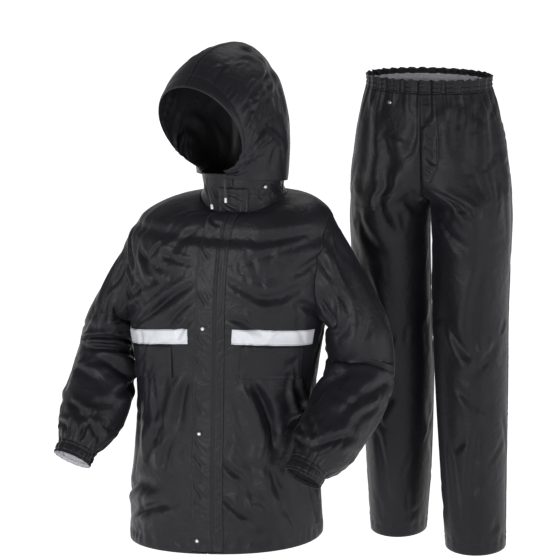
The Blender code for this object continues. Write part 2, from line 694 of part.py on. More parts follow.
def trouser_half(side):
    """Gives one half of the trousers, from centre front round the side to centre back, with normals."""
    rise_place = np.linspace(0.0, CROTCH_PLACE, RISE_ROWS + 1)
    leg_way = np.linspace(0.0, 1.0, LEG_ROWS + 1)[1:] ** LEG_ROW_POWER
    leg_place = CROTCH_PLACE + (1.0 - CROTCH_PLACE) * leg_way
    ways = np.linspace(-1.0, 1.0, 2 * TROUSER_COLUMNS + 1)
    _, height, centre, wide, front, back, spread = between(RISE_RINGS, rise_place)
    spread = np.clip(spread, 90.0, 180.0)
    half = wide / (1.0 - np.cos(np.radians(spread)))
    middle = centre - side * half * np.cos(np.radians(spread))
    table = LEG_LEFT if side > 0 else LEG_RIGHT
    _, leg_height, leg_x, leg_y, leg_wide, leg_deep = between(table, leg_place)
    height = np.concatenate([height, leg_height])
    middle = np.concatenate([middle, leg_x])
    middle_y = np.concatenate([np.full(rise_place.shape, TROUSER_CENTRE_Y), leg_y])
    half = np.concatenate([half, leg_wide])
    front = np.concatenate([front, leg_deep])
    back = np.concatenate([back, leg_deep])
    spread = np.concatenate([spread, np.full(leg_place.shape, 180.0)])
    turn = np.radians(spread)[:, None] * ways[None, :]
    depth = np.where(turn < 0, front[:, None], back[:, None])
    x = middle[:, None] + side * half[:, None] * np.cos(turn)
    y = middle_y[:, None] + depth * np.sin(turn)
    z = np.repeat(height[:, None], len(ways), axis=1)
    mid = np.stack([x, y, z], axis=-1)
    return mid, np.degrees(turn)


def open_normals(mid, side):
    """Gives the outward normals of an open grid of one trouser half."""
    along = np.gradient(mid, axis=0)
    round_it = np.gradient(mid, axis=1)
    return unit(np.cross(round_it, along)) * -side


def finish_trouser_half(side):
    """Gives one trouser half with its gathers and creases."""
    mid, turn = trouser_half(side)
    normal = unit(open_normals(mid, side) * np.array([1.0, 1.0, 0.02]))
    sink = np.zeros(turn.shape)
    for which, turn_a, high_a, turn_b, high_b, half, depth in TROUSER_CREASES:
        if which == side:
            ends = (turn_a * LEG_DEGREE, high_a), (turn_b * LEG_DEGREE, high_b)
            sink = sink + crease(turn * LEG_DEGREE, mid[..., 2], ends[0], ends[1], half, depth)
    zigzag = np.where(np.arange(turn.shape[1]) % 2 == 0, 1.0, -1.0)
    fade = np.exp(-((mid[:, 0, 2] - RISE_RINGS[0][1]) / WAIST_GATHER_REACH) ** 2)
    sink = sink + zigzag[None, :] * fade[:, None] * WAIST_GATHER_DEPTH / 2
    column = np.arange(turn.shape[1])
    edge = smooth(column / SEAM_CALM) * smooth(column[::-1] / SEAM_CALM)
    mid = mid + normal * (sink * np.where(fade[:, None] > GATHERED, 1.0, edge[None, :]))[..., None]
    return mid, open_normals(mid, side)


def make_trousers(look, home):
    """Makes the four trouser panels."""
    right, right_normal = finish_trouser_half(-1)
    left, left_normal = finish_trouser_half(1)
    for column in (0, -1):
        shared = unit(right_normal[:RISE_ROWS, column] + left_normal[:RISE_ROWS, column])
        right_normal[:RISE_ROWS, column] = shared
        left_normal[:RISE_ROWS, column] = shared
        right_normal[RISE_ROWS, column] = (0.0, 0.0, -1.0)
        left_normal[RISE_ROWS, column] = (0.0, 0.0, -1.0)
    for normal in (right_normal, left_normal):
        shared = unit(normal[RISE_ROWS + 1:, 0] + normal[RISE_ROWS + 1:, -1])
        normal[RISE_ROWS + 1:, 0] = shared
        normal[RISE_ROWS + 1:, -1] = shared
        flat = normal[0] * np.array([1.0, 1.0, 0.0])
        normal[0] = unit(flat)
    for side, mid, normal in ((-1, right, right_normal), (1, left, left_normal)):
        word = "left" if side > 0 else "right"
        cut = TROUSER_COLUMNS
        front = pull_in(mid[:, :cut + 1], ("bottom", "first", "last"))
        back = pull_in(mid[:, cut:], ("bottom", "first", "last"))
        wall("trouser_front_" + word, front, normal[:, :cut + 1], look, home)
        wall("trouser_back_" + word, back, normal[:, cut:], look, home)


def make_casing(look, home):
    """Makes the gathered waist casing."""
    count = WAIST_GATHERS * 2
    turns = np.radians(np.arange(count) * 360.0 / count)
    heights = np.linspace(RISE_RINGS[0][1], CASING_TOP, CASING_ROWS + 1)
    _, _, centre, wide, front, back, _ = between(RISE_RINGS, 0.0)
    zigzag = np.where(np.arange(count) % 2 == 0, 1.0, -1.0) * WAIST_GATHER_DEPTH / 2
    mid = np.zeros((len(heights), count, 3))
    outward = np.zeros((len(heights), count, 3))
    depth = np.where(np.cos(turns) > 0, front, back)
    way = unit(np.stack([np.sin(turns) / wide, -np.cos(turns) / depth, 0 * turns], axis=-1))
    for r, height in enumerate(heights):
        x = centre + wide * CASING_NARROW[r] * np.sin(turns)
        y = TROUSER_CENTRE_Y - depth * CASING_NARROW[r] * np.cos(turns)
        mid[r] = np.stack([x, y, np.full(count, height)], axis=-1) + way * zigzag[:, None]
        outward[r] = way
    mid = pull_in(mid, ("bottom",))
    return wall("waist_casing", mid, outward, look, home, closed=True)


def spot(mid, normal, row_way, column_way):
    """Gives a point and normal between the points of a grid."""
    r = int(np.floor(row_way))
    c = int(np.floor(column_way))
    fr = row_way - r
    fc = column_way - c
    weights = ((r, c, (1 - fr) * (1 - fc)), (r + 1, c, fr * (1 - fc)),
               (r, c + 1, (1 - fr) * fc), (r + 1, c + 1, fr * fc))
    point = sum(mid[a, b] * w for a, b, w in weights)
    way = sum(normal[a, b] * w for a, b, w in weights)
    return point, unit(way)


def build():
    """Makes the whole suit."""
    clear_scene()
    home = bpy.data.collections.new("rain_suit")
    bpy.context.scene.collection.children.link(home)
    shell = material("jacket_cloth", SHELL_BLACK, 0.45, 0.0)
    trouser = material("trouser_cloth", TROUSER_BLACK, 0.50, 0.0)
    tape = material("reflective_tape", TAPE_GREY, 0.35, 0.0)
    metal = material("snap_metal", SNAP_GREY, 0.30, 1.0)
    string = material("cord_black", CORD_BLACK, 0.75, 0.0)
    tip = material("cord_tip", CORD_END_GREY, 0.30, 0.0)

    # Body panels
    places, turns = jacket_places()
    middle = np.full(places.shape, FRONT_GAP_TURN)
    loops = {}
    for side in (-1, 1):
        loops[side] = armhole_loop(side)
    arm_first = len(BODY_PLACES) - 1
    arm_last = len(BODY_PLACES) - 1 + ARMHOLE_ROWS
    sleeve_tables = {-1: (SLEEVE_RIGHT, SLEEVE_CREASES_RIGHT), 1: (SLEEVE_LEFT, SLEEVE_CREASES_LEFT)}
    shared = {}
    for side in (-1, 1):
        table = sleeve_tables[side][0]
        loop, loop_normal = loops[side]
        count = len(loop)
        ring_turns = np.arange(count) * 360.0 / count
        place = np.linspace(0.0, 1.0, SLEEVE_ROWS + 1) ** SLEEVE_ROW_POWER
        rings = sleeve_ring(table, place, ring_turns, side)
        keep = 1.0 - smooth(place / ARMHOLE_REACH)
        rings = rings + keep[:, None, None] * (loop - rings[0])[None]
        shared[side] = unit(round_normals(rings)[0] + loop_normal)
    fronts = {}
    for side, word in ((-1, "right"), (1, "left")):
        mid, normal = body_panel(side * middle, side * (90 - turns), FRONT_COLUMNS)
        normal[arm_last:arm_first - 1:-1, -1] = shared[side][:ARMHOLE_ROWS + 1]
        normal[-1] = neck_normal(np.linspace(side * FRONT_GAP_TURN, side * 90, FRONT_COLUMNS + 1))
        fronts[side] = (mid, normal)
        mid = pull_in(mid, ("top", "last"))
        wall("jacket_front_" + word, mid, normal, shell, home)
    front_rows = []
    for r in range(len(places)):
        ways = np.linspace(0.0, 1.0, FRONT_COLUMNS + 1)
        turn = FRONT_GAP_TURN + (90 - turns[r] - FRONT_GAP_TURN) * ways
        front_rows.append((np.concatenate([-turn, turn]), np.concatenate([fronts[-1][0][r], fronts[1][0][r]]),
                           np.concatenate([fronts[-1][1][r], fronts[1][1][r]])))
    mid, normal = body_panel(90 + turns, 270 - turns, BACK_COLUMNS)
    for side, column in ((1, 0), (-1, -1)):
        normal[arm_first:arm_last, column] = shared[side][ARMHOLE_ROWS:]
        normal[arm_last, column] = shared[side][0]
    normal[-1] = neck_normal(np.linspace(90, 270, BACK_COLUMNS + 1))
    mid = pull_in(mid, ("top", "first", "last"))
    wall("jacket_back", mid, normal, shell, home)

    # Sleeves and cuffs
    for side, word in ((-1, "right"), (1, "left")):
        table, creases = sleeve_tables[side]
        make_sleeve("sleeve_" + word, table, creases, side, shell, home)
        make_cuff("cuff_" + word, table, side, shell, home)

    # Collar and hood
    front_turn = FRONT_GAP_TURN + (90 - FRONT_GAP_TURN) * np.arange(1, FRONT_COLUMNS + 1) / FRONT_COLUMNS
    back_turn = 90 + 180 * np.arange(1, BACK_COLUMNS) / BACK_COLUMNS
    neck_turn = np.concatenate([[FRONT_GAP_TURN], front_turn, back_turn, 360 - front_turn[::-1],
                                [360 - FRONT_GAP_TURN]])
    collar_turn = neck_turn[None, :].repeat(4, axis=0)
    collar_place = np.linspace(0.0, 1.0, 4)[:, None].repeat(len(neck_turn), axis=1)
    normal = collar_normal(collar_place, collar_turn)
    normal[0] = neck_normal(collar_turn[0])
    stand = collar(collar_place, collar_turn)
    wall("collar", pull_in(stand, ("bottom",)), normal, shell, home)
    collar_wrap = (collar_turn[0] + 180.0) % 360.0 - 180.0
    collar_rows = [(collar_wrap, stand[r], normal[r]) for r in range(4)]
    make_hood_half("hood_right", -1, shell, home)
    make_hood_half("hood_left", 1, shell, home)

    # Storm flap, tape and chest flaps
    lift = CLOTH + LAY_GAP
    flap_mid, flap_normal = flap_grid(front_rows, collar_rows)
    wall("storm_flap", flap_mid + flap_normal * lift, flap_normal, shell, home)
    tape_lift = CLOTH / 2 + LAY_GAP + TAPE_LIFT + TAPE_THICK / 2
    for name, turn_from, turn_to in TAPE_TURNS:
        strip(name, front_rows, turn_from, turn_to, TAPE_ROWS, tape_lift, TAPE_THICK, tape, home)
    for name, turn_from, turn_to in CHEST_FLAP_TURNS:
        strip(name, front_rows, turn_from, turn_to, CHEST_FLAP_ROWS, lift, CLOTH, shell, home)

    # Snaps
    for i, (height, across) in enumerate(FLAP_SNAP_PLACES):
        heights = flap_mid[:, FLAP_COLUMNS // 2, 2]
        row = np.interp(height, heights, np.arange(len(heights)))
        wide = (flap_mid[int(row), -1] - flap_mid[int(row), 0])[0]
        column = FLAP_COLUMNS * (0.5 + across / wide)
        point, way = spot(flap_mid, flap_normal, row, column)
        snap("snap_flap_%d" % (i + 1), point + way * (lift + CLOTH / 2 + SNAP_GAP), way, metal, home)
    turn = np.array([COLLAR_SNAP_TURN])
    point = along_row(collar_wrap, stand[2], turn)[0]
    way = unit(along_row(collar_wrap, normal[2], turn)[0])
    snap("snap_collar", point + way * (CLOTH / 2 + SNAP_GAP), way, metal, home)

    # Drawcord ends that hang from beside the chin
    for word, points in (("left", CORD_LEFT), ("right", CORD_RIGHT)):
        cord("hood_cord_" + word, points, CORD_WIDE, string, home)
        last = Vector(points[-1])
        way = (last - Vector(points[-2])).normalized()
        start = last + way * LAY_GAP
        end = start + way * CORD_END_LONG
        cord("cord_end_" + word, [tuple(start), tuple(end)], CORD_END_WIDE, tip, home)

    # Trousers
    make_trousers(trouser, home)
    make_casing(trouser, home)
    left, left_normal = finish_trouser_half(1)
    mid = []
    normal = []
    for r in FLY_ROWS:
        line = []
        line_normal = []
        for c in FLY_COLUMNS:
            shrink = 1.0 - FLY_CURVE * max(0.0, (r - FLY_CURVE_ROW) / 2.0) ** 2
            at = 1.0 + (c - 1.0) * shrink if c > 1.0 else c
            point, way = spot(left, left_normal, r, at)
            line.append(point + way * (lift + FLY_LIFT))
            line_normal.append(way)
        mid.append(line)
        normal.append(line_normal)
    wall("fly_flap", np.array(mid), np.array(normal), trouser, home)
    right, right_normal = finish_trouser_half(-1)
    point, way = spot(right, right_normal, *WAIST_SNAP_PLACE)
    snap("snap_waist", point + way * (CLOTH / 2 + SNAP_GAP), way, metal, home)


build()
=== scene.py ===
"""A two-piece rain suit: hooded jacket and trousers of black coated cloth, filled out with no wearer."""
import bpy
import bmesh
import numpy as np
from mathutils import Matrix, Vector


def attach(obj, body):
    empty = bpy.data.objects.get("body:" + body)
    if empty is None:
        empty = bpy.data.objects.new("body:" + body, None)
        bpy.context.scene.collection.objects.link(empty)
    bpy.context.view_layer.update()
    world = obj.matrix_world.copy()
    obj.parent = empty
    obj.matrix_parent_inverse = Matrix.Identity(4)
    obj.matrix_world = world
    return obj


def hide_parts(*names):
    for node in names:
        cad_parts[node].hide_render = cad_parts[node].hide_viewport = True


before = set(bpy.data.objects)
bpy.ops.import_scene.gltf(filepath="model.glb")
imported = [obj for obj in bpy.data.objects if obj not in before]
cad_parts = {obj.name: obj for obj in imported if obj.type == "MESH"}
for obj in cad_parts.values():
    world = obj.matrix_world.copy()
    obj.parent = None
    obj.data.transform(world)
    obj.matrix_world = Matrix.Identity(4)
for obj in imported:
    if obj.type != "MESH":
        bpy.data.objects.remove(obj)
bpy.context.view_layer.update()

# Camera, floor and light
# The camera stands a little to the wearer's left and above, five metres off, as in the photo. The
# floor is plain and pale, and three soft lights and a pale room light the suit.
CAMERA_TURN = 14.0
CAMERA_RISE = 13.0
CAMERA_FAR = 5.0
PIXEL = 0.00208
FRAME_PIXELS = 560
TARGET_RIGHT = 36
TARGET_UP = -88
FLOOR_HEIGHT = -0.90
FLOOR_HALF = 30.0
SENSOR_WIDE = 36.0
VIEW_END = 60.0
LAMP_FAR = 5.0


def direction(turn, rise):
    """Gives the unit vector towards a turn round the suit and a rise above level, in degrees."""
    a = np.radians(turn)
    e = np.radians(rise)
    return np.array([np.sin(a) * np.cos(e), -np.cos(a) * np.cos(e), np.sin(e)])


def aim(thing, place, target):
    """Puts a light or camera at a place and turns it to a target."""
    thing.location = Vector([float(v) for v in place])
    way = Vector([float(v) for v in (np.array(place) - np.array(target))])
    thing.rotation_euler = way.to_track_quat("Z", "Y").to_euler()


def add_object(name, data):
    """Adds an object to the scene."""
    made = bpy.data.objects.new(name, data)
    bpy.context.scene.collection.objects.link(made)
    return made


back = direction(CAMERA_TURN, CAMERA_RISE)
right = np.array([np.cos(np.radians(CAMERA_TURN)), np.sin(np.radians(CAMERA_TURN)), 0.0])
up = np.cross(back, right)
target = TARGET_RIGHT * PIXEL * right + TARGET_UP * PIXEL * up
eye = target + CAMERA_FAR * back
camera_data = bpy.data.cameras.new("camera")
camera = add_object("camera", camera_data)
camera.matrix_world = Matrix([
    [right[0], up[0], back[0], eye[0]],
    [right[1], up[1], back[1], eye[1]],
    [right[2], up[2], back[2], eye[2]],
    [0.0, 0.0, 0.0, 1.0],
])
camera_data.sensor_width = SENSOR_WIDE
camera_data.lens = SENSOR_WIDE * CAMERA_FAR / (FRAME_PIXELS * PIXEL)
camera_data.clip_end = VIEW_END
bpy.context.scene.camera = camera


def new_material(name):
    """Makes a material and gives its nodes, links and surface shader."""
    made = bpy.data.materials.new(name)
    made.use_nodes = True
    nodes = made.node_tree.nodes
    return made, nodes, made.node_tree.links, nodes["Principled BSDF"]


floor_mesh = bpy.data.meshes.new("floor")
floor_mesh.from_pydata(
    [(-FLOOR_HALF, -FLOOR_HALF, FLOOR_HEIGHT), (FLOOR_HALF, -FLOOR_HALF, FLOOR_HEIGHT),
     (FLOOR_HALF, FLOOR_HALF, FLOOR_HEIGHT), (-FLOOR_HALF, FLOOR_HALF, FLOOR_HEIGHT)], [], [(0, 1, 2, 3)])
floor = add_object("floor", floor_mesh)
floor_look, _, _, floor_shader = new_material("floor_pale")
floor_shader.inputs["Base Color"].default_value = (0.93, 0.93, 0.93, 1.0)
floor_shader.inputs["Roughness"].default_value = 0.8
floor_shader.inputs["Emission Color"].default_value = (1.0, 1.0, 1.0, 1.0)
floor_shader.inputs["Emission Strength"].default_value = 0.80
floor_mesh.materials.append(floor_look)

room = bpy.data.worlds.new("room")
room.use_nodes = True
room_nodes = room.node_tree.nodes
room_links = room.node_tree.links
room_way = room_nodes.new("ShaderNodeTexCoord")
room_split = room_nodes.new("ShaderNodeSeparateXYZ")
room_links.new(room_way.outputs["Generated"], room_split.inputs["Vector"])
room_ramp = room_nodes.new("ShaderNodeValToRGB")
ROOM_TONES = [
    # place from straight down to straight up, brightness
    (0.0, 0.90), (0.48, 0.75), (0.60, 0.42), (0.74, 0.17), (1.0, 0.22),
]
tones = room_ramp.color_ramp.elements
while len(tones) < len(ROOM_TONES):
    tones.new(0.5)
for tone, (place, bright) in zip(tones, ROOM_TONES):
    tone.position = place
    tone.color = (bright, bright, bright, 1.0)
room_half = room_nodes.new("ShaderNodeMapRange")
room_half.inputs["From Min"].default_value = -1.0
room_links.new(room_split.outputs["Z"], room_half.inputs["Value"])
room_links.new(room_half.outputs["Result"], room_ramp.inputs["Fac"])
room_links.new(room_ramp.outputs["Color"], room_nodes["Background"].inputs["Color"])
room_nodes["Background"].inputs["Strength"].default_value = 1.0
bpy.context.scene.world = room
bpy.context.scene.view_settings.view_transform = "Standard"

LIGHTS = [
    # name, turn, rise, strength, spread in degrees
    ("key", -14.0, 2.0, 1.35, 22.0),
    ("fill", 62.0, 2.0, 0.75, 30.0),
    ("behind", 170.0, 50.0, 0.45, 40.0),
]
for name, turn, rise, strength, spread in LIGHTS:
    data = bpy.data.lights.new(name, "SUN")
    data.energy = strength
    data.angle = np.radians(spread)
    aim(add_object(name, data), LAMP_FAR * direction(turn, rise), (0.0, 0.0, 0.0))

# Drawcord ends
# Two ends of the hood's drawcord hang in front of the collar. Each is a round woven cord 3.6 mm
# thick that leaves the hood beside the chin; its moulded tip is coloured near-white as a painted highlight.
CORD_WIDE = 0.0036
TIP_WIDE = 0.0056
TIP_LONG = 0.010
CORD_GAP = 0.0004
CORD_STEPS = 18
TIP_NARROW = 0.88
TIP_EDGE = 0.0010
TIP_SIDES = 20
CORDS = [
    # word, route
    ("left", [(-0.0130, -0.1035, 0.0440), (-0.0135, -0.1040, 0.0350), (-0.0125, -0.1045, 0.0250),
              (-0.0115, -0.1046, 0.0150), (-0.0110, -0.1052, 0.0075)]),
    ("right", [(-0.0560, -0.0860, 0.0440), (-0.0545, -0.0900, 0.0340), (-0.0515, -0.0940, 0.0230),
               (-0.0475, -0.0975, 0.0120), (-0.0440, -0.1000, 0.0010), (-0.0415, -0.1030, -0.0080)]),
]


def bump_from(nodes, links, shader, parts):
    """Chains bumps from (texture output, strength, distance) into a shader."""
    last = None
    for source, strength, distance in parts:
        bump = nodes.new("ShaderNodeBump")
        bump.inputs["Strength"].default_value = strength
        bump.inputs["Distance"].default_value = distance
        links.new(source, bump.inputs["Height"])
        if last is not None:
            links.new(last.outputs["Normal"], bump.inputs["Normal"])
        last = bump
    links.new(last.outputs["Normal"], shader.inputs["Normal"])


def object_noise(nodes, links, scale, detail, rough=0.5, distortion=0.0):
    """Makes a noise texture on object coordinates."""
    place = nodes.new("ShaderNodeTexCoord")
    noise = nodes.new("ShaderNodeTexNoise")
    noise.inputs["Scale"].default_value = scale
    noise.inputs["Detail"].default_value = detail
    noise.inputs["Roughness"].default_value = rough
    noise.inputs["Distortion"].default_value = distortion
    links.new(place.outputs["Object"], noise.inputs["Vector"])
    return noise


def ramp_between(nodes, links, source, low, high, start=0.3, end=0.7):
    """Makes a colour ramp from one colour to another."""
    ramp = nodes.new("ShaderNodeValToRGB")
    ramp.color_ramp.elements[0].position = start
    ramp.color_ramp.elements[0].color = (*low, 1.0)
    ramp.color_ramp.elements[1].position = end
    ramp.color_ramp.elements[1].color = (*high, 1.0)
    links.new(source, ramp.inputs["Fac"])
    return ramp


def make_finish(name, grain, low, high, rough, bump=None, detail=2.0, metallic=0.0):
    """Makes a plain finish: a grain between two tones, a roughness and a bump (strength, distance)."""
    look, nodes, links, shader = new_material(name)
    tone = object_noise(nodes, links, grain, detail)
    tint = ramp_between(nodes, links, tone.outputs["Fac"], low, high)
    links.new(tint.outputs["Color"], shader.inputs["Base Color"])
    shader.inputs["Metallic"].default_value = metallic
    shader.inputs["Roughness"].default_value = rough
    if bump is not None:
        bump_from(nodes, links, shader, [(tone.outputs["Fac"], *bump)])
    return look


def smooth_path(points, steps):
    """Gives a smooth curve through route points."""
    route = np.array(points, float)
    at = np.linspace(0, len(route) - 1, steps)
    low = np.clip(np.floor(at).astype(int), 0, len(route) - 2)
    t = (at - low)[:, None]
    slope = np.gradient(route, axis=0)
    a = route[low]
    b = route[low + 1]
    return ((2 * t ** 3 - 3 * t ** 2 + 1) * a + (t ** 3 - 2 * t ** 2 + t) * slope[low]
            + (3 * t ** 2 - 2 * t ** 3) * b + (t ** 3 - t ** 2) * slope[low + 1])


cord_look = make_finish("cord_woven", 900.0, (0.020, 0.020, 0.023), (0.060, 0.060, 0.066), 0.8, (0.5, 0.0004))
# the tips' near-white colour is painted highlight, standing for the glint on metal tips
tip_glint_look = make_finish("cord_tip_painted_glint", 300.0, (0.74, 0.74, 0.77), (0.86, 0.86, 0.88), 0.25, (0.1, 0.0002))

for word, route in CORDS:
    line = bpy.data.curves.new("drawcord_" + word, "CURVE")
    line.dimensions = "3D"
    line.bevel_depth = CORD_WIDE / 2
    line.bevel_resolution = 4
    line.use_fill_caps = True
    curve = smooth_path(route, CORD_STEPS)
    run = line.splines.new("POLY")
    run.points.add(len(curve) - 1)
    for spot, point in zip(run.points, curve):
        spot.co = (point[0], point[1], point[2], 1.0)
    line.materials.append(cord_look)
    cord = add_object("drawcord_" + word, line)
    end = np.array(route[-1])
    way = end - np.array(route[-2])
    way = way / np.linalg.norm(way)
    work = bmesh.new()
    bmesh.ops.create_cone(work, cap_ends=True, segments=TIP_SIDES, radius1=TIP_WIDE / 2,
                          radius2=TIP_NARROW * TIP_WIDE / 2, depth=TIP_LONG)
    rims = [edge for edge in work.edges if any(len(face.verts) > 4 for face in edge.link_faces)]
    bmesh.ops.bevel(work, geom=rims, offset=TIP_EDGE, segments=3, affect="EDGES", profile=0.5)
    tip_mesh = bpy.data.meshes.new("drawcord_tip_" + word)
    work.to_mesh(tip_mesh)
    work.free()
    tip_mesh.materials.append(tip_glint_look)
    for face in tip_mesh.polygons:
        face.use_smooth = True
    tip = add_object("drawcord_tip_" + word, tip_mesh)
    tip.rotation_euler = Vector([float(v) for v in -way]).to_track_quat("Z", "Y").to_euler()
    tip.location = Vector([float(v) for v in end + way * (CORD_GAP + TIP_LONG / 2)])
    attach(cord, "root")
    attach(tip, "root")
    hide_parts("hood_cord_" + word)
    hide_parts("cord_end_" + word)

# Jacket body
# One back and two fronts of coated nylon, sewn at the shoulders, sides and armholes, and open at the
# hem. The rings are those of the solids; long soft creases and short puckers press into them.
CLOTH = 0.0010
JACKET_RINGS = [
    # place, height, centre_x, half_width, front_depth, back_depth, tilt, front_lift
    (0.00, -0.745, -0.041, 0.209, 0.153, 0.139, 0.060, 0.000),
    (0.16, -0.624, -0.042, 0.203, 0.150, 0.135, 0.055, 0.006),
    (0.38, -0.450, -0.040, 0.190, 0.143, 0.127, 0.050, 0.018),
    (0.58, -0.310, -0.036, 0.203, 0.146, 0.132, 0.050, 0.023),
    (0.70, -0.225, -0.034, 0.215, 0.145, 0.134, 0.055, 0.022),
    (0.80, -0.145, -0.031, 0.224, 0.138, 0.133, 0.060, 0.016),
    (0.88, -0.078, -0.026, 0.218, 0.124, 0.124, 0.060, 0.006),
    (0.93, -0.037, -0.018, 0.192, 0.110, 0.111, 0.060, 0.000),
    (0.97, -0.010, -0.008, 0.143, 0.098, 0.098, 0.045, -0.018),
    (1.00, -0.001, 0.000, 0.088, 0.089, 0.088, 0.020, -0.032),
]
FULLNESS = 0.90
UNDERARM_PLACE = 0.635
TIP_PLACE = 0.915
ARMHOLE_TURN = 27.0
TURN_METRE = 0.0034
PLACE_STEP = 0.003
TURN_STEP = 0.3
BODY_FOLDS = [
    # turn_from, height_from, turn_to, height_to, half_width, depth, lip, bow
    # creases that run down from the wearer's right armhole to the front edge
    (-74, -0.105, -40, -0.215, 0.007, 0.0060, 0.7, 0.006),
    (-66, -0.085, -52, -0.165, 0.006, 0.0050, 0.7, -0.004),
    (-72, -0.235, -30, -0.165, 0.008, 0.0055, 0.8, 0.004),
    (-70, -0.270, -34, -0.190, 0.006, 0.0045, 0.8, 0.003),
    (-60, -0.285, -20, -0.200, 0.007, 0.0050, 0.7, 0.004),
    (-46, -0.120, -20, -0.150, 0.008, 0.0040, 0.6, 0.004),
    (-80, -0.160, -72, -0.265, 0.008, 0.0050, 0.6, 0.003),
    # creases at the wearer's left chest, from the armhole inwards
    (76, -0.090, 40, -0.150, 0.010, 0.0060, 0.8, -0.006),
    (70, -0.235, 46, -0.205, 0.010, 0.0055, 0.8, 0.004),
    (78, -0.255, 66, -0.215, 0.008, 0.0045, 0.6, 0.003),
    (60, -0.060, 20, -0.085, 0.010, 0.0035, 0.6, 0.004),
    (56, -0.085, 16, -0.115, 0.008, 0.0030, 0.6, 0.004),
    # soft pulls across the chest and beside the flap
    (8, -0.160, 34, -0.205, 0.008, 0.0040, 0.8, 0.003),
    (10, -0.235, 30, -0.270, 0.008, 0.0040, 0.8, -0.003),
    (24, -0.195, 52, -0.178, 0.012, 0.0055, 0.9, 0.004),
    (-10, -0.128, -30, -0.110, 0.006, 0.0045, 0.9, -0.003),
    (-9, -0.170, -38, -0.250, 0.008, 0.0060, 0.9, 0.003),
    (-27, -0.185, -58, -0.257, 0.008, 0.0060, 0.9, -0.003),
    (-28, -0.090, -36, -0.125, 0.005, 0.0050, 0.9, 0.002),
    (-46, -0.112, -30, -0.171, 0.007, 0.0060, 0.9, 0.003),
    (-48, -0.180, -51, -0.235, 0.008, 0.0050, 0.9, 0.002),
    (-12, -0.060, -26, -0.140, 0.010, 0.0035, 0.8, 0.004),
    (-9, -0.205, -24, -0.262, 0.006, 0.0045, 0.9, 0.003),
    (-9, -0.245, -18, -0.285, 0.005, 0.0040, 0.9, 0.002),
    # long folds below the flaps
    (-12, -0.372, -18, -0.480, 0.011, 0.0080, 1.0, 0.004),
    (25, -0.377, 40, -0.470, 0.013, 0.0090, 1.0, -0.006),
    (40, -0.470, 37, -0.550, 0.012, 0.0085, 1.0, -0.003),
    (37, -0.550, 46, -0.620, 0.012, 0.0070, 0.9, 0.003),
    (56, -0.386, 70, -0.450, 0.009, 0.0075, 1.0, 0.003),
    (70, -0.450, 54, -0.470, 0.007, 0.0055, 0.9, 0.002),
    (8, -0.540, 18, -0.575, 0.006, 0.0045, 0.9, 0.002),
    (8, -0.620, 24, -0.665, 0.007, 0.0050, 0.9, 0.003),
    (-53, -0.690, -22, -0.645, 0.009, 0.0060, 1.0, -0.006),
    (-24, -0.510, -27, -0.575, 0.009, 0.0050, 0.9, 0.003),
    (-38, -0.385, -36, -0.520, 0.010, 0.0060, 0.9, 0.003),
    (-26, -0.360, -34, -0.470, 0.012, 0.0060, 0.8, 0.005),
    (-46, -0.380, -44, -0.540, 0.012, 0.0050, 0.7, -0.006),
    (-30, -0.470, -44, -0.560, 0.012, 0.0055, 0.8, 0.006),
    (-62, -0.420, -58, -0.560, 0.012, 0.0040, 0.6, 0.004),
    (-78, -0.660, -34, -0.610, 0.012, 0.0060, 0.9, -0.014),
    (-70, -0.700, -30, -0.665, 0.012, 0.0035, 0.7, -0.008),
    (26, -0.375, 46, -0.560, 0.016, 0.0085, 0.8, -0.012),
    (58, -0.370, 70, -0.450, 0.010, 0.0070, 0.9, 0.004),
    (66, -0.370, 76, -0.430, 0.007, 0.0050, 0.8, 0.003),
    (40, -0.560, 56, -0.680, 0.014, 0.0050, 0.7, 0.010),
    (16, -0.560, 34, -0.640, 0.010, 0.0045, 0.7, 0.006),
    (18, -0.610, 30, -0.690, 0.010, 0.0040, 0.6, 0.005),
    (74, -0.560, 84, -0.700, 0.012, 0.0040, 0.6, 0.004),
    # back: the same pulls from both armholes and long hanging folds
    (106, -0.110, 140, -0.215, 0.009, 0.0060, 0.7, 0.006),
    (104, -0.160, 150, -0.290, 0.010, 0.0055, 0.8, 0.006),
    (108, -0.235, 146, -0.330, 0.008, 0.0045, 0.7, -0.004),
    (-106, -0.105, -142, -0.200, 0.009, 0.0060, 0.7, -0.006),
    (-104, -0.170, -152, -0.275, 0.010, 0.0055, 0.8, 0.006),
    (-110, -0.240, -148, -0.345, 0.008, 0.0045, 0.7, 0.004),
    (150, -0.360, 146, -0.560, 0.014, 0.0060, 0.8, 0.008),
    (176, -0.380, 172, -0.600, 0.014, 0.0050, 0.7, -0.008),
    (-154, -0.370, -146, -0.570, 0.014, 0.0060, 0.8, -0.008),
    (118, -0.440, 126, -0.620, 0.012, 0.0050, 0.7, 0.006),
    (-120, -0.450, -124, -0.640, 0.012, 0.0050, 0.7, -0.006),
    (-170, -0.060, 168, -0.075, 0.012, 0.0040, 0.6, 0.006),
    (160, -0.620, 130, -0.680, 0.012, 0.0045, 0.7, 0.010),
    (-160, -0.600, -128, -0.670, 0.012, 0.0045, 0.7, -0.010),
]


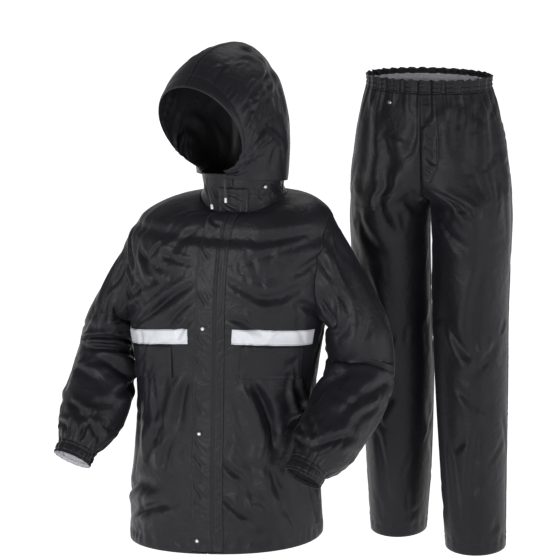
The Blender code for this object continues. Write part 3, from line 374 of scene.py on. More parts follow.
def between(table, at):
    """Gives the sizes at places between the rows of a table, on smooth curves."""
    rows = np.array(table, float)
    place = rows[:, 0]
    at = np.clip(np.asarray(at, float), place[0], place[-1])
    step = np.diff(place)
    rise = np.diff(rows, axis=0) / step[:, None]
    slope = np.zeros_like(rows)
    slope[0] = rise[0]
    slope[-1] = rise[-1]
    both = (step[:-1] + step[1:])[:, None]
    slope[1:-1] = (rise[:-1] * step[1:, None] + rise[1:] * step[:-1, None]) / both
    low = np.clip(np.searchsorted(place, at, side="right") - 1, 0, len(step) - 1)
    t = ((at - place[low]) / step[low])[..., None]
    span = step[low][..., None]
    start = (2 * t ** 3 - 3 * t ** 2 + 1) * rows[low] + (t ** 3 - 2 * t ** 2 + t) * span * slope[low]
    stop = (3 * t ** 2 - 2 * t ** 3) * rows[low + 1] + (t ** 3 - t ** 2) * span * slope[low + 1]
    return np.moveaxis(start + stop, -1, 0)


def unit(vectors):
    """Gives vectors the length one."""
    size = np.linalg.norm(vectors, axis=-1, keepdims=True)
    return vectors / np.maximum(size, 1e-12)


def smooth(t):
    """Runs from 0 to 1 with soft ends."""
    t = np.clip(t, 0.0, 1.0)
    return t * t * (3.0 - 2.0 * t)


def rounded(value, power):
    """Keeps the sign of a value and raises its size to a power."""
    return np.sign(value) * np.abs(value) ** power


def press(a, b, rows):
    """Gives how far creases sink at points with coordinates a and b in metres.

    Each row has two ends, a half width, a depth, a lip beside the trough and a sideways bow.
    """
    sink = np.zeros(np.broadcast(a, b).shape)
    for a0, b0, a1, b1, half, depth, lip, bow in rows:
        length = float(np.hypot(a1 - a0, b1 - b0))
        wa = (a1 - a0) / length
        wb = (b1 - b0) / length
        run = ((a - a0) * wa + (b - b0) * wb) / length
        off = (a - a0) * wb - (b - b0) * wa - bow * np.sin(np.pi * np.clip(run, 0, 1))
        near = (np.abs(off) < 6 * half) & (run > -0.3) & (run < 1.3)
        r = run[near]
        o = off[near] / (half * (0.75 + 0.5 * np.clip(r, 0, 1)))
        fade = smooth((r + 0.15) / 0.4) * smooth((1.15 - r) / 0.4)
        trough = np.exp(-o ** 2)
        ridge = np.exp(-((o - 1.7) / 1.3) ** 2) * lip + np.exp(-((o + 1.9) / 1.6) ** 2) * lip * 0.5
        sink[near] += depth * fade * (ridge - trough)
    return sink


def scatter(seed, count, box, lean, spread, length, half, depth):
    """Gives rows of small creases at uneven places in a box of a and b, leaning by an angle."""
    draw = np.random.default_rng(seed)
    rows = []
    for _ in range(count):
        a = draw.uniform(box[0], box[1])
        b = draw.uniform(box[2], box[3])
        angle = np.radians(lean + draw.normal(0, spread))
        long = draw.uniform(length[0], length[1]) / 2
        da = np.cos(angle) * long
        db = np.sin(angle) * long
        rows.append((a - da, b - db, a + da, b + db, draw.uniform(half[0], half[1]),
                     draw.uniform(depth[0], depth[1]), draw.uniform(0.3, 0.9), draw.normal(0, 0.12) * long))
    return rows


def fold_rows(table, across, along=1.0):
    """Gives a table's creases in metres, from its turns and places."""
    return [(a * across, b * along, c * across, d * along, *rest) for a, b, c, d, *rest in table]


def scatter_rows(table, shift=0):
    """Gives the small creases of a table, whose rows are what scatter takes."""
    return [crease for seed, *sizes in table for crease in scatter(seed + shift, *sizes)]


def ring_point(table, place, turn):
    """Gives points of a garment ring table at a place and a turn round the body in degrees."""
    place = np.asarray(place, float)
    angle = np.radians(np.asarray(turn, float))
    _, height, centre_x, wide, front, rear, tilt, lift = between(table, place)
    across = wide * rounded(np.sin(angle), FULLNESS)
    ahead = np.cos(angle)
    depth = np.where(ahead > 0, front, rear) * rounded(ahead, FULLNESS)
    high = height + tilt * across + lift * np.maximum(ahead, 0.0) ** 2
    return np.stack([centre_x + across, -depth, high], axis=-1)


def normal_of(surface, a, b, step_a, step_b):
    """Gives the outward normal of a surface function."""
    along = surface(a + step_a, b) - surface(a - step_a, b)
    round_it = surface(a, b + step_b) - surface(a, b - step_b)
    return unit(np.cross(round_it, along))


def body_plain(place, turn):
    """Gives the jacket body with no creases."""
    return ring_point(JACKET_RINGS, place, turn)


def body_normal(place, turn):
    """Gives the outward normal of the jacket body with no creases."""
    return normal_of(body_plain, place, turn, PLACE_STEP, TURN_STEP)


BODY_SMALL_FOLDS = [
    # seed, count, box round and up, lean, spread, length, half_width, depth
    # puckers along both edges of the front opening
    (11, 26, (-0.075, -0.036, -0.70, -0.10), 62, 14, (0.012, 0.034), (0.0022, 0.004), (0.0008, 0.0020)),
    (12, 30, (0.034, 0.075, -0.70, -0.10), 118, 14, (0.014, 0.040), (0.0024, 0.005), (0.0008, 0.0022)),
    # a fine unevenness all round
    (13, 70, (-0.30, -0.07, -0.72, -0.05), 60, 34, (0.03, 0.10), (0.005, 0.011), (0.0006, 0.0020)),
    (14, 60, (0.07, 0.30, -0.72, -0.05), 115, 34, (0.03, 0.10), (0.005, 0.011), (0.0006, 0.0018)),
    (15, 90, (0.30, 0.62, -0.72, -0.04), 100, 40, (0.03, 0.11), (0.005, 0.012), (0.0006, 0.0020)),
    (16, 90, (-0.62, -0.30, -0.72, -0.04), 80, 40, (0.03, 0.11), (0.005, 0.012), (0.0006, 0.0020)),
]
body_rows = fold_rows(BODY_FOLDS, TURN_METRE) + scatter_rows(BODY_SMALL_FOLDS)
HEM_LINE = 0.022
BODY_LONG = 0.756


def body_sink(place, turn, height):
    """Gives how far the body's creases and hem sink."""
    turned = (np.asarray(turn, float) + 180.0) % 360.0 - 180.0
    a = turned * TURN_METRE
    sink = press(a, height, body_rows)
    neck = smooth((1.0 - place) / 0.05)
    above_hem = place * BODY_LONG
    hem_height = above_hem - HEM_LINE
    groove = -0.0009 * np.exp(-(hem_height / 0.0022) ** 2)
    ripple = 0.0012 * np.sin(a * 230 + 3 * np.sin(a * 31)) * np.exp(-((hem_height + 0.004) / 0.012) ** 2)
    hem = smooth((above_hem + 0.03) / 0.06)
    return sink * neck * (0.35 + 0.65 * hem) + groove + ripple


def body(place, turn):
    """Gives the creased jacket body."""
    place = np.asarray(place, float)
    turn = np.asarray(turn, float)
    points = body_plain(place, turn)
    height = points[..., 2]
    normal = body_normal(place, turn)
    return points + normal * body_sink(place, turn, height)[..., None]


def make_cloth(name, low, high, rough, crinkle, weave=250.0, sheen=0.04):
    """Makes a coated woven cloth: uneven tone, satin sheen, fine crinkle and weave."""
    look, nodes, links, shader = new_material(name)
    tone = object_noise(nodes, links, 9.0, 4.0, 0.55, 0.6)
    tint = ramp_between(nodes, links, tone.outputs["Fac"], low, high, 0.25, 0.75)
    links.new(tint.outputs["Color"], shader.inputs["Base Color"])
    patch = object_noise(nodes, links, 34.0, 5.0, 0.6, 0.4)
    spread = nodes.new("ShaderNodeMapRange")
    spread.inputs["To Min"].default_value = rough - 0.06
    spread.inputs["To Max"].default_value = rough + 0.07
    links.new(patch.outputs["Fac"], spread.inputs["Value"])
    links.new(spread.outputs["Result"], shader.inputs["Roughness"])
    shader.inputs["Specular IOR Level"].default_value = 0.24
    shader.inputs["Sheen Weight"].default_value = sheen
    shader.inputs["Sheen Roughness"].default_value = 0.45
    shader.inputs["Sheen Tint"].default_value = (0.80, 0.80, 0.90, 1.0)
    place = nodes.new("ShaderNodeTexCoord")
    cross = nodes.new("ShaderNodeMath")
    cross.operation = "MULTIPLY"
    for k, way in enumerate("ZX"):
        thread = nodes.new("ShaderNodeTexWave")
        thread.wave_type = "BANDS"
        thread.bands_direction = way
        thread.inputs["Scale"].default_value = weave
        links.new(place.outputs["Object"], thread.inputs["Vector"])
        links.new(thread.outputs["Fac"], cross.inputs[k])
    fine = object_noise(nodes, links, 120.0, 4.0, 0.6, 0.8)
    wide = object_noise(nodes, links, 38.0, 3.0, 0.5, 1.2)
    bump_from(nodes, links, shader, [
        (wide.outputs["Fac"], crinkle, 0.0045),
        (fine.outputs["Fac"], crinkle * 0.8, 0.0012),
        (cross.outputs["Value"], 0.25, 0.00012),
    ])
    return look


shell_look = make_cloth("jacket_shell", (0.0085, 0.0086, 0.0112), (0.0150, 0.0153, 0.0196), 0.40, 0.40)
lining_look = make_cloth("jacket_inside", (0.012, 0.012, 0.014), (0.024, 0.024, 0.027), 0.50, 0.40)
silver_look = make_cloth("silver_inside", (0.50, 0.50, 0.54), (0.66, 0.66, 0.70), 0.38, 0.40, 150.0, 0.0)


def shell_object(name, mid, looks, closed=False, thick=CLOTH, inner_look=None):
    """Makes a thin cloth shell from a grid of outer points."""
    rows, columns = mid.shape[:2]
    points = mid.reshape(-1, 3)
    last = columns if closed else columns - 1
    r = np.arange(rows - 1)[:, None]
    c = np.arange(last)[None, :]
    n = (c + 1) % columns
    below = r * columns
    above = below + columns
    quads = np.stack([below + c, below + n, above + n, above + c], axis=-1).reshape(-1, 4)
    mesh = bpy.data.meshes.new(name)
    mesh.from_pydata(points.tolist(), [], quads.tolist())
    for look in looks:
        mesh.materials.append(look)
    for face in mesh.polygons:
        face.use_smooth = True
    made = add_object(name, mesh)
    solid = made.modifiers.new("thickness", "SOLIDIFY")
    solid.thickness = thick
    solid.offset = -1.0
    solid.use_even_offset = False
    if inner_look is not None:
        mesh.materials.append(inner_look)
        solid.material_offset = len(mesh.materials) - 1
    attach(made, "root")
    return made


def facing(mid, outward):
    """Turns a grid round where its faces would look away from the outward directions."""
    a = mid[1:, :-1] - mid[:-1, :-1]
    b = mid[:-1, 1:] - mid[:-1, :-1]
    normal = np.cross(b, a)
    if np.sum(normal * outward[:-1, :-1]) < 0:
        return mid[:, ::-1]
    return mid


def body_rows_places(rows_below, rows_arm, rows_top):
    """Gives row places and the turn by which the armhole takes the edge back."""
    below = np.linspace(0.0, UNDERARM_PLACE, rows_below, endpoint=False)
    way = np.linspace(0.0, 1.0, rows_arm, endpoint=False)
    arm = UNDERARM_PLACE + (TIP_PLACE - UNDERARM_PLACE) * (1 - np.cos(np.pi * way)) / 2
    top = np.linspace(TIP_PLACE, 1.0, rows_top)
    turns = np.concatenate([np.zeros(rows_below), ARMHOLE_TURN * np.sin(np.pi * way), np.zeros(rows_top)])
    return np.concatenate([below, arm, top]), turns


BODY_ROWS = (120, 56, 22)
places, edge_turns = body_rows_places(*BODY_ROWS)
PANELS = [
    # name, turn_from, turn_to, columns, edge sign at each end
    ("jacket_front_right", -0.25, -90.0, 72, 0, 1),
    ("jacket_front_left", 0.25, 90.0, 72, 0, -1),
    ("jacket_back", 90.0, 270.0, 128, 1, -1),
]


for name, turn_from, turn_to, columns, sign_from, sign_to in PANELS:
    ways = np.linspace(0.0, 1.0, columns + 1)
    first = turn_from + sign_from * edge_turns
    last = turn_to + sign_to * edge_turns
    turn = first[:, None] + (last - first)[:, None] * ways[None, :]
    place = np.repeat(places[:, None], columns + 1, axis=1)
    normal = body_normal(place, turn)
    mid = facing(body(place, turn) + normal * (CLOTH / 2), normal)
    panel = shell_object(name + "_cloth", mid, [shell_look], inner_look=silver_look)
    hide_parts(name)

# Sleeves
# Each sleeve is one piece of the same cloth, sewn into the armhole and bent forward at the elbow. Deep
# folds gather inside the bend, and the cloth puffs out over the elastic cuff.
SLEEVE_RIGHT = [
    # place, centre_x, centre_y, centre_z, half_wide, half_deep
    (0.00, -0.240, 0.002, -0.155, 0.074, 0.098),
    (0.15, -0.274, 0.002, -0.216, 0.054, 0.086),
    (0.32, -0.294, 0.000, -0.288, 0.050, 0.078),
    (0.47, -0.301, -0.012, -0.348, 0.057, 0.071),
    (0.60, -0.300, -0.044, -0.400, 0.067, 0.068),
    (0.74, -0.303, -0.087, -0.455, 0.071, 0.064),
    (0.88, -0.315, -0.122, -0.502, 0.061, 0.056),
    (1.00, -0.326, -0.146, -0.535, 0.041, 0.041),
    (1.10, -0.333, -0.162, -0.557, 0.040, 0.040),
]
SLEEVE_LEFT = [
    # place, centre_x, centre_y, centre_z, half_wide, half_deep
    (0.00, 0.184, 0.002, -0.140, 0.074, 0.098),
    (0.15, 0.226, 0.004, -0.208, 0.061, 0.086),
    (0.32, 0.242, 0.010, -0.288, 0.068, 0.079),
    (0.46, 0.249, 0.010, -0.358, 0.071, 0.073),
    (0.60, 0.246, -0.044, -0.408, 0.073, 0.071),
    (0.74, 0.224, -0.104, -0.456, 0.072, 0.069),
    (0.88, 0.201, -0.150, -0.503, 0.062, 0.059),
    (1.00, 0.182, -0.178, -0.530, 0.041, 0.041),
    (1.10, 0.173, -0.194, -0.550, 0.040, 0.040),
]
ARMHOLE_REACH = 0.34
SLEEVE_DEGREE = 0.00115
SLEEVE_LONG = 0.45
CUFF_GATHERS = 16
SLEEVE_COLUMNS = 144
SLEEVE_GRID_ROWS = 130
FOLDS_RIGHT = [
    # turn_from, place_from, turn_to, place_to, half_width, depth, lip, bow
    (36, 0.455, 122, 0.395, 0.0075, 0.0085, 0.9, 0.004),
    (122, 0.395, 168, 0.440, 0.0075, 0.0075, 0.9, 0.002),
    (60, 0.520, 168, 0.500, 0.0080, 0.0070, 0.8, -0.006),
    (88, 0.575, 178, 0.660, 0.0130, 0.0090, 0.9, 0.004),
    (132, 0.710, 192, 0.585, 0.0090, 0.0070, 0.9, -0.004),
    (30, 0.610, 84, 0.690, 0.0090, 0.0050, 0.8, 0.004),
    (50, 0.800, 96, 0.860, 0.0080, 0.0060, 0.8, 0.003),
    (96, 0.865, 152, 0.915, 0.0080, 0.0065, 0.9, -0.003),
    (92, 0.870, 104, 0.970, 0.0070, 0.0060, 0.7, 0.002),
    (20, 0.900, 60, 0.930, 0.0070, 0.0050, 0.8, 0.002),
    (92, 0.150, 104, 0.360, 0.0090, 0.0045, 0.7, 0.006),
    (130, 0.080, 122, 0.300, 0.0100, 0.0050, 0.8, -0.006),
    (40, 0.060, 66, 0.240, 0.0090, 0.0035, 0.6, 0.004),
    (60, 0.260, 40, 0.380, 0.0080, 0.0035, 0.6, 0.003),
    (200, 0.120, 236, 0.300, 0.0100, 0.0055, 0.8, 0.006),
    (300, 0.080, 276, 0.280, 0.0100, 0.0050, 0.8, -0.006),
    (230, 0.470, 300, 0.520, 0.0110, 0.0060, 0.8, 0.004),
    (250, 0.620, 320, 0.580, 0.0110, 0.0055, 0.8, -0.004),
    (210, 0.800, 290, 0.760, 0.0110, 0.0060, 0.8, 0.004),
    (330, 0.700, 372, 0.800, 0.0100, 0.0050, 0.7, 0.004),
]
FOLDS_LEFT = [
    # turn_from, place_from, turn_to, place_to, half_width, depth, lip, bow
    (8, 0.040, 70, 0.165, 0.0130, 0.0055, 0.8, 0.004),
    (70, 0.165, 120, 0.300, 0.0120, 0.0050, 0.8, -0.004),
    (110, 0.020, 116, 0.230, 0.0085, 0.0060, 0.8, 0.004),
    (36, 0.230, 84, 0.400, 0.0110, 0.0040, 0.6, 0.006),
    (132, 0.525, 78, 0.552, 0.0065, 0.0080, 1.0, 0.001),
    (78, 0.552, -8, 0.495, 0.0060, 0.0075, 1.0, 0.001),
    (84, 0.585, 124, 0.745, 0.0150, 0.0085, 0.9, 0.004),
    (4, 0.545, 44, 0.670, 0.0095, 0.0065, 0.9, 0.004),
    (44, 0.670, 62, 0.770, 0.0090, 0.0055, 0.9, -0.002),
    (6, 0.640, 38, 0.790, 0.0085, 0.0055, 0.9, 0.003),
    (24, 0.790, 72, 0.930, 0.0085, 0.0060, 0.9, 0.004),
    (150, 0.810, 110, 0.880, 0.0070, 0.0055, 0.9, 0.003),
    (112, 0.800, 78, 0.900, 0.0060, 0.0055, 0.9, -0.002),
    (140, 0.900, 96, 0.950, 0.0060, 0.0045, 0.8, 0.002),
    (60, 0.440, 120, 0.470, 0.0090, 0.0040, 0.7, 0.004),
    (160, 0.400, 200, 0.470, 0.0110, 0.0070, 0.8, 0.004),
    (200, 0.120, 236, 0.300, 0.0100, 0.0055, 0.8, 0.006),
    (300, 0.080, 276, 0.280, 0.0100, 0.0050, 0.8, -0.006),
    (230, 0.520, 300, 0.480, 0.0110, 0.0060, 0.8, 0.004),
    (250, 0.640, 320, 0.600, 0.0110, 0.0055, 0.8, -0.004),
    (210, 0.820, 290, 0.780, 0.0110, 0.0060, 0.8, 0.004),
]


def armhole_path(side, ways, beyond=0.0):
    """Gives the armhole's places and turns, from the shoulder tip down the front and up the back."""
    down = ways < 0.5
    way = np.where(down, 1.0 - 2.0 * ways, 2.0 * ways - 1.0)
    place = UNDERARM_PLACE + (TIP_PLACE - UNDERARM_PLACE) * (1 - np.cos(np.pi * way)) / 2
    off = ARMHOLE_TURN * np.sin(np.pi * way) + beyond
    return place, side * np.where(down, 90.0 - off, 90.0 + off)


def arm_frame(table, place, side):
    """Gives the middle line of a sleeve and the two directions across it."""
    _, x, y, z, wide, deep = between(table, place)
    step = 0.01
    ahead = np.stack(between(table, place + step)[1:4], axis=-1)
    behind = np.stack(between(table, place - step)[1:4], axis=-1)
    axis = unit(ahead - behind)
    outward = np.array([side * 1.0, 0.0, 0.25])
    out = unit(outward - axis * (axis @ outward)[..., None])
    front = unit(np.cross(axis, out)) * side
    front = np.where((front[..., 1:2] > 0), -front, front)
    return np.stack([x, y, z], axis=-1), out, front, wide, deep


def sleeve_ring(table, place, turns, side):
    """Gives rings of a sleeve: turn 0 is the outer line from the shoulder tip, 90 its front."""
    centre, out, front, wide, deep = arm_frame(table, place, side)
    angle = np.radians(turns)[None, :, None]
    across = out[:, None, :] * np.cos(angle) * wide[:, None, None]
    ahead = front[:, None, :] * np.sin(angle) * deep[:, None, None]
    return centre[:, None, :] + across + ahead


def round_normals(mid):
    """Gives the outward normals of a grid that closes on itself."""
    round_it = np.roll(mid, -1, axis=1) - np.roll(mid, 1, axis=1)
    along = np.gradient(mid, axis=0)
    normal = unit(np.cross(round_it, along))
    centre = mid.mean(axis=1, keepdims=True)
    sign = np.sign(np.sum(normal * (mid - centre), axis=(1, 2), keepdims=True))
    return normal * sign


def uneven_wave(turn, count, seed, sway=0.35):
    """Gives gathers round a ring: count waves of uneven width and height, from -1 to 1."""
    draw = np.random.default_rng(seed)
    angle = np.radians(turn)
    phase = count * angle
    height = np.ones_like(angle)
    for k in (1, 2, 3, 5):
        phase = phase + sway * draw.uniform(0.5, 1.5) * np.sin(k * angle + draw.uniform(0, 6.28))
        height = height + 0.18 * draw.uniform(0.4, 1.4) * np.sin(k * angle + draw.uniform(0, 6.28))
    wave = np.cos(phase)
    sharp = np.sign(wave) * np.abs(wave) ** 0.8
    return (0.75 * sharp + 0.25 * np.cos(2.1 * phase + 1.0)) * height


def close_ring(grid):
    """Repeats a ring's first column at its end."""
    return np.concatenate([grid, grid[:, :1]], axis=1)


SLEEVE_ROUND = 360 * SLEEVE_DEGREE
SLEEVE_SMALL_FOLDS = [
    # seed, count, box round and along, lean, spread, length, half_width, depth
    (30, 46, (0.0, SLEEVE_ROUND, 0.02, 0.16), 100, 26, (0.03, 0.09), (0.005, 0.010), (0.0006, 0.0020)),
    (40, 60, (0.0, SLEEVE_ROUND, 0.16, 0.44), 30, 40, (0.02, 0.07), (0.004, 0.009), (0.0008, 0.0026)),
    (50, 44, (0.0, SLEEVE_ROUND, 0.36, 0.45), 90, 16, (0.02, 0.05), (0.0028, 0.005), (0.0008, 0.0026)),
    (60, 40, (0.0, SLEEVE_ROUND, 0.0, 0.02), 90, 18, (0.012, 0.03), (0.0024, 0.004), (0.0008, 0.0018)),
]
CUFF_PLACES = (1.0, 1.1)
CUFF_ROWS = 25
CUFF_COLUMNS = 192
CUFF_THICK = 0.0016
ELASTIC_PLACES = (0.22, 0.78)
SIDES = [
    # side, word, rings, folds, look inside the cuff; the left cuff's dark lining is painted shade
    (-1, "right", SLEEVE_RIGHT, FOLDS_RIGHT, silver_look),
    # the left cuff takes the dark lining as painted shade of its shadowed opening; the right shows the silver
    # inside
    (1, "left", SLEEVE_LEFT, FOLDS_LEFT, lining_look),
]
cuff_outer = {}
for side, word, table, folds, cuff_inside_and_shade in SIDES:
    ways = np.arange(SLEEVE_COLUMNS) / SLEEVE_COLUMNS
    turns = ways * 360.0
    loop = body(*armhole_path(side, ways))
    place = np.linspace(0.0, 1.0, SLEEVE_GRID_ROWS + 1) ** 1.05
    mid = sleeve_ring(table, place, turns, side)
    keep = 1.0 - smooth(place / ARMHOLE_REACH)
    mid = mid + keep[:, None, None] * (loop - mid[0])[None]
    normal = round_normals(mid)
    rows = fold_rows(folds, SLEEVE_DEGREE, SLEEVE_LONG) + scatter_rows(SLEEVE_SMALL_FOLDS, side)
    sink = np.zeros(mid.shape[:2])
    along = np.repeat(place[:, None] * SLEEVE_LONG, len(turns), axis=1)
    for shift in (-SLEEVE_ROUND, 0.0, SLEEVE_ROUND):
        sink += press((turns * SLEEVE_DEGREE)[None, :] + shift, along, rows)
    gather = uneven_wave(turns, CUFF_GATHERS, 7 + side)
    near_cuff = np.exp(-((1.0 - place) / 0.055) ** 2)
    sink = sink * smooth(place / 0.05)[:, None] + 0.0017 * gather[None, :] * near_cuff[:, None]
    seam = np.exp(-(place / 0.006) ** 2)
    underarm = np.exp(-((turns - 180.0) * SLEEVE_DEGREE / 0.0016) ** 2)
    sink = sink - 0.0010 * seam[:, None] - 0.0009 * underarm[None, :]
    mid = mid + normal * (sink + CLOTH / 2)[..., None]
    sleeve = shell_object("sleeve_%s_cloth" % word, mid if side > 0 else mid[:, ::-1], [shell_look],
                          closed=True, inner_look=silver_look)
    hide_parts("sleeve_" + word)

    # the cuff: a band of the same cloth drawn in over two rows of elastic
    place = np.linspace(*CUFF_PLACES, CUFF_ROWS)
    turns = np.arange(CUFF_COLUMNS) * 360.0 / CUFF_COLUMNS
    mid = sleeve_ring(table, place, turns, side)
    outward = unit(mid - mid.mean(axis=1, keepdims=True))
    gather = uneven_wave(turns, CUFF_GATHERS, 7 + side)
    fine = uneven_wave(turns, CUFF_GATHERS * 2 + 5, 17 + side, 0.6)
    across = (place - 1.0) / 0.1
    pinch = sum(np.exp(-((across - at) / 0.07) ** 2) for at in ELASTIC_PLACES)
    lift = (0.0013 * gather + 0.0006 * fine)[None, :] * (1.0 - 0.45 * pinch)[:, None]
    lift = lift + 0.0012 * np.sin(np.pi * across)[:, None] - 0.0010 * pinch[:, None]
    mid = mid + outward * (lift + CLOTH / 2)[..., None]
    cuff_outer[side] = (mid, outward)
    # the inside look paints the left cuff's opening dark as painted shade
    cuff = shell_object("cuff_%s_cloth" % word, mid if side > 0 else mid[:, ::-1], [shell_look],
                        closed=True, thick=CUFF_THICK, inner_look=cuff_inside_and_shade)
    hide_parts("cuff_" + word)

# Collar
# A stand collar of two layers of the jacket's cloth. It is sewn to the neck seam, one stitched row
# runs below its top edge, and its ends meet at the front behind the storm flap.
COLLAR_RINGS = [
    # place, height, centre_x, half_width, front_depth, back_depth, tilt, front_lift
    (0.00, -0.001, 0.000, 0.088, 0.089, 0.088, 0.020, -0.032),
    (0.30, 0.010, 0.000, 0.082, 0.086, 0.084, 0.000, -0.018),
    (1.00, 0.044, 0.000, 0.086, 0.090, 0.086, 0.000, 0.010),
]
COLLAR_FOLDS = [
    # turn_from, height_from, turn_to, height_to, half_width, depth, lip, bow
    (-34, 0.024, -14, -0.006, 0.0035, 0.0024, 1.0, 0.002),
    (-26, 0.028, -10, 0.010, 0.0030, 0.0020, 1.0, -0.001),
    (-58, 0.026, -34, 0.004, 0.0045, 0.0022, 0.9, 0.002),
    (20, 0.026, 40, 0.004, 0.0040, 0.0016, 0.9, -0.002),
    (54, 0.028, 76, 0.010, 0.0050, 0.0018, 0.8, 0.002),
    (120, 0.026, 140, 0.006, 0.0050, 0.0018, 0.8, 0.002),
    (176, 0.028, 196, 0.010, 0.0050, 0.0016, 0.8, -0.002),
    (236, 0.026, 222, 0.006, 0.0050, 0.0018, 0.8, 0.002),
]


def collar_plain(place, turn):
    """Gives the stand collar with no creases."""
    return ring_point(COLLAR_RINGS, place, turn)


def collar_normal(place, turn):
    """Gives the outward normal of the collar with no creases."""
    return normal_of(collar_plain, place, turn, PLACE_STEP, TURN_STEP)


COLLAR_DEGREE = 0.00148
COLLAR_SMALL_FOLDS = [
    # seed, count, box round and up, lean, spread, length, half_width, depth
    (71, 40, (-0.16, 0.40, 0.0, 0.030), 80, 24, (0.010, 0.026), (0.0022, 0.004), (0.0004, 0.0011)),
]
COLLAR_STITCH_PLACE = 0.86
COLLAR_ROWS = 30
COLLAR_COLUMNS = 260
COLLAR_THICK = 0.0015
collar_rows = fold_rows(COLLAR_FOLDS, COLLAR_DEGREE) + scatter_rows(COLLAR_SMALL_FOLDS)


def collar_surface(place, turn):
    """Gives the collar with its creases."""
    place = np.asarray(place, float)
    turn = np.asarray(turn, float)
    points = collar_plain(place, turn)
    normal = collar_normal(place, turn)
    a = np.where(turn > 270.0, turn - 360.0, turn) * COLLAR_DEGREE
    sink = press(a, points[..., 2], collar_rows)
    groove = -0.0006 * np.exp(-((place - COLLAR_STITCH_PLACE) / 0.03) ** 2)
    return points + normal * (sink * smooth(place / 0.2) + groove)[..., None]


place = np.repeat(np.linspace(0.0, 1.0, COLLAR_ROWS)[:, None], COLLAR_COLUMNS, axis=1)
turn = np.repeat(np.linspace(0.25, 359.75, COLLAR_COLUMNS)[None, :], COLLAR_ROWS, axis=0)
normal = collar_normal(place, turn)
collar_mid = facing(collar_surface(place, turn) + normal * (CLOTH / 2), normal)
collar = shell_object("collar_cloth", collar_mid, [shell_look], thick=COLLAR_THICK, inner_look=lining_look)
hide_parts("collar")

# Hood
# Two halves sewn together over the crown and joined to the neck seam. Its edge is turned over a
# drawcord, and folds spread from the chin where the cord draws it in.
HOOD_YAW = 24.0
HOOD_ARCHES = [
    # place, chin_forward, chin_height, rise, reach, half_width, chin_turn
    (0.00, 0.103, 0.064, 66, 0.192, 0.104, 163),
    (0.12, 0.102, 0.062, 79, 0.222, 0.109, 163),
    (0.30, 0.101, 0.060, 98, 0.248, 0.107, 162),
    (0.45, 0.100, 0.058, 111, 0.262, 0.102, 162),
    (0.62, 0.099, 0.056, 127, 0.254, 0.098, 161),
    (0.80, 0.098, 0.053, 150, 0.222, 0.095, 160),
    (0.92, 0.097, 0.050, 173, 0.196, 0.0935, 160),
    (1.00, 0.096, 0.048, 188, 0.1880, 0.0935, 160),
]
HOOD_PEAK = 0.035
HOOD_FOLDS = [
    # side, turn_from, place_from, turn_to, place_to, half_width, depth, lip, bow
    (1, 0.44, 0.12, 0.30, 0.50, 0.0075, 0.0060, 0.9, 0.010),
    (1, 0.30, 0.46, 0.50, 0.40, 0.0070, 0.0050, 0.8, 0.003),
    (1, 0.80, 0.03, 0.50, 0.80, 0.0085, 0.0065, 1.0, 0.004),
    (1, 0.80, 0.03, 0.58, 0.36, 0.0055, 0.0040, 0.9, -0.004),
    (1, 0.78, 0.04, 0.54, 0.62, 0.0070, 0.0055, 1.0, 0.004),
    (1, 0.86, 0.06, 0.72, 0.66, 0.0070, 0.0050, 0.9, 0.004),
    (1, 0.17, 0.16, 0.18, 0.08, 0.0060, 0.0035, 0.8, 0.002),
    (1, 0.56, 0.06, 0.42, 0.26, 0.0060, 0.0035, 0.8, 0.003),
    (1, 0.20, 0.55, 0.34, 0.80, 0.0090, 0.0040, 0.7, 0.004),
    (1, 0.10, 0.30, 0.16, 0.48, 0.0080, 0.0030, 0.6, 0.004),
    (-1, 0.44, 0.12, 0.34, 0.48, 0.0080, 0.0055, 0.9, -0.010),
    (-1, 0.78, 0.03, 0.56, 0.74, 0.0085, 0.0060, 1.0, -0.004),
    (-1, 0.80, 0.03, 0.60, 0.40, 0.0060, 0.0045, 0.9, 0.004),
    (-1, 0.84, 0.05, 0.70, 0.60, 0.0070, 0.0050, 0.9, -0.004),
    (-1, 0.16, 0.50, 0.30, 0.78, 0.0090, 0.0040, 0.7, -0.004),
    (-1, 0.58, 0.06, 0.46, 0.26, 0.0060, 0.0035, 0.8, 0.003),
    (-1, 0.12, 0.26, 0.18, 0.44, 0.0080, 0.0030, 0.6, -0.004),
]
HOOD_TURN = 0.30
HOOD_LONG = 0.26
HOOD_STEP = 0.005
HOOD_COLUMNS = 100
HOOD_GRID_ROWS = 110
HOOD_SMALL_FOLDS = [
    # seed, count, box round and back, lean, spread, length, half_width, depth
    (81, 34, (0.02, HOOD_TURN, 0.02, 0.075), 92, 14, (0.014, 0.034), (0.0024, 0.0045), (0.0006, 0.0018)),
    (85, 34, (0.02, HOOD_TURN, 0.05, 0.24), 120, 36, (0.02, 0.07), (0.005, 0.010), (0.0006, 0.0020)),
    (91, 26, (0.20, HOOD_TURN, 0.02, 0.20), 130, 20, (0.02, 0.05), (0.0030, 0.006), (0.0010, 0.0024)),
]


def hood_plain(place, turn):
    """Gives the hood: turn 0 is the middle line over the crown, plus or minus 1 beside the chin."""
    place = np.asarray(place, float)
    _, ahead, height, rise, reach, wide, chin = between(HOOD_ARCHES, place)
    way = np.radians(chin) * np.asarray(turn, float)
    open_cos = np.cos(np.radians(chin))
    far = (np.cos(way) - open_cos) / (1.0 - open_cos) * reach
    across = wide * np.sin(way)
    peak = HOOD_PEAK * reach * np.exp(-(way / 0.42) ** 2) * smooth((1.0 - place) / 0.35)
    far = far + peak * smooth(place / 0.25)
    rise = np.radians(rise)
    forward = ahead + far * np.cos(rise)
    high = height + far * np.sin(rise)
    yaw = np.radians(HOOD_YAW)
    x = -forward * np.sin(yaw) + across * np.cos(yaw)
    y = -forward * np.cos(yaw) - across * np.sin(yaw)
    return np.stack([x, y, high], axis=-1)


def hood_normal(place, turn):
    """Gives the outward normal of the hood with no creases."""
    return normal_of(hood_plain, place, turn, HOOD_STEP, HOOD_STEP)


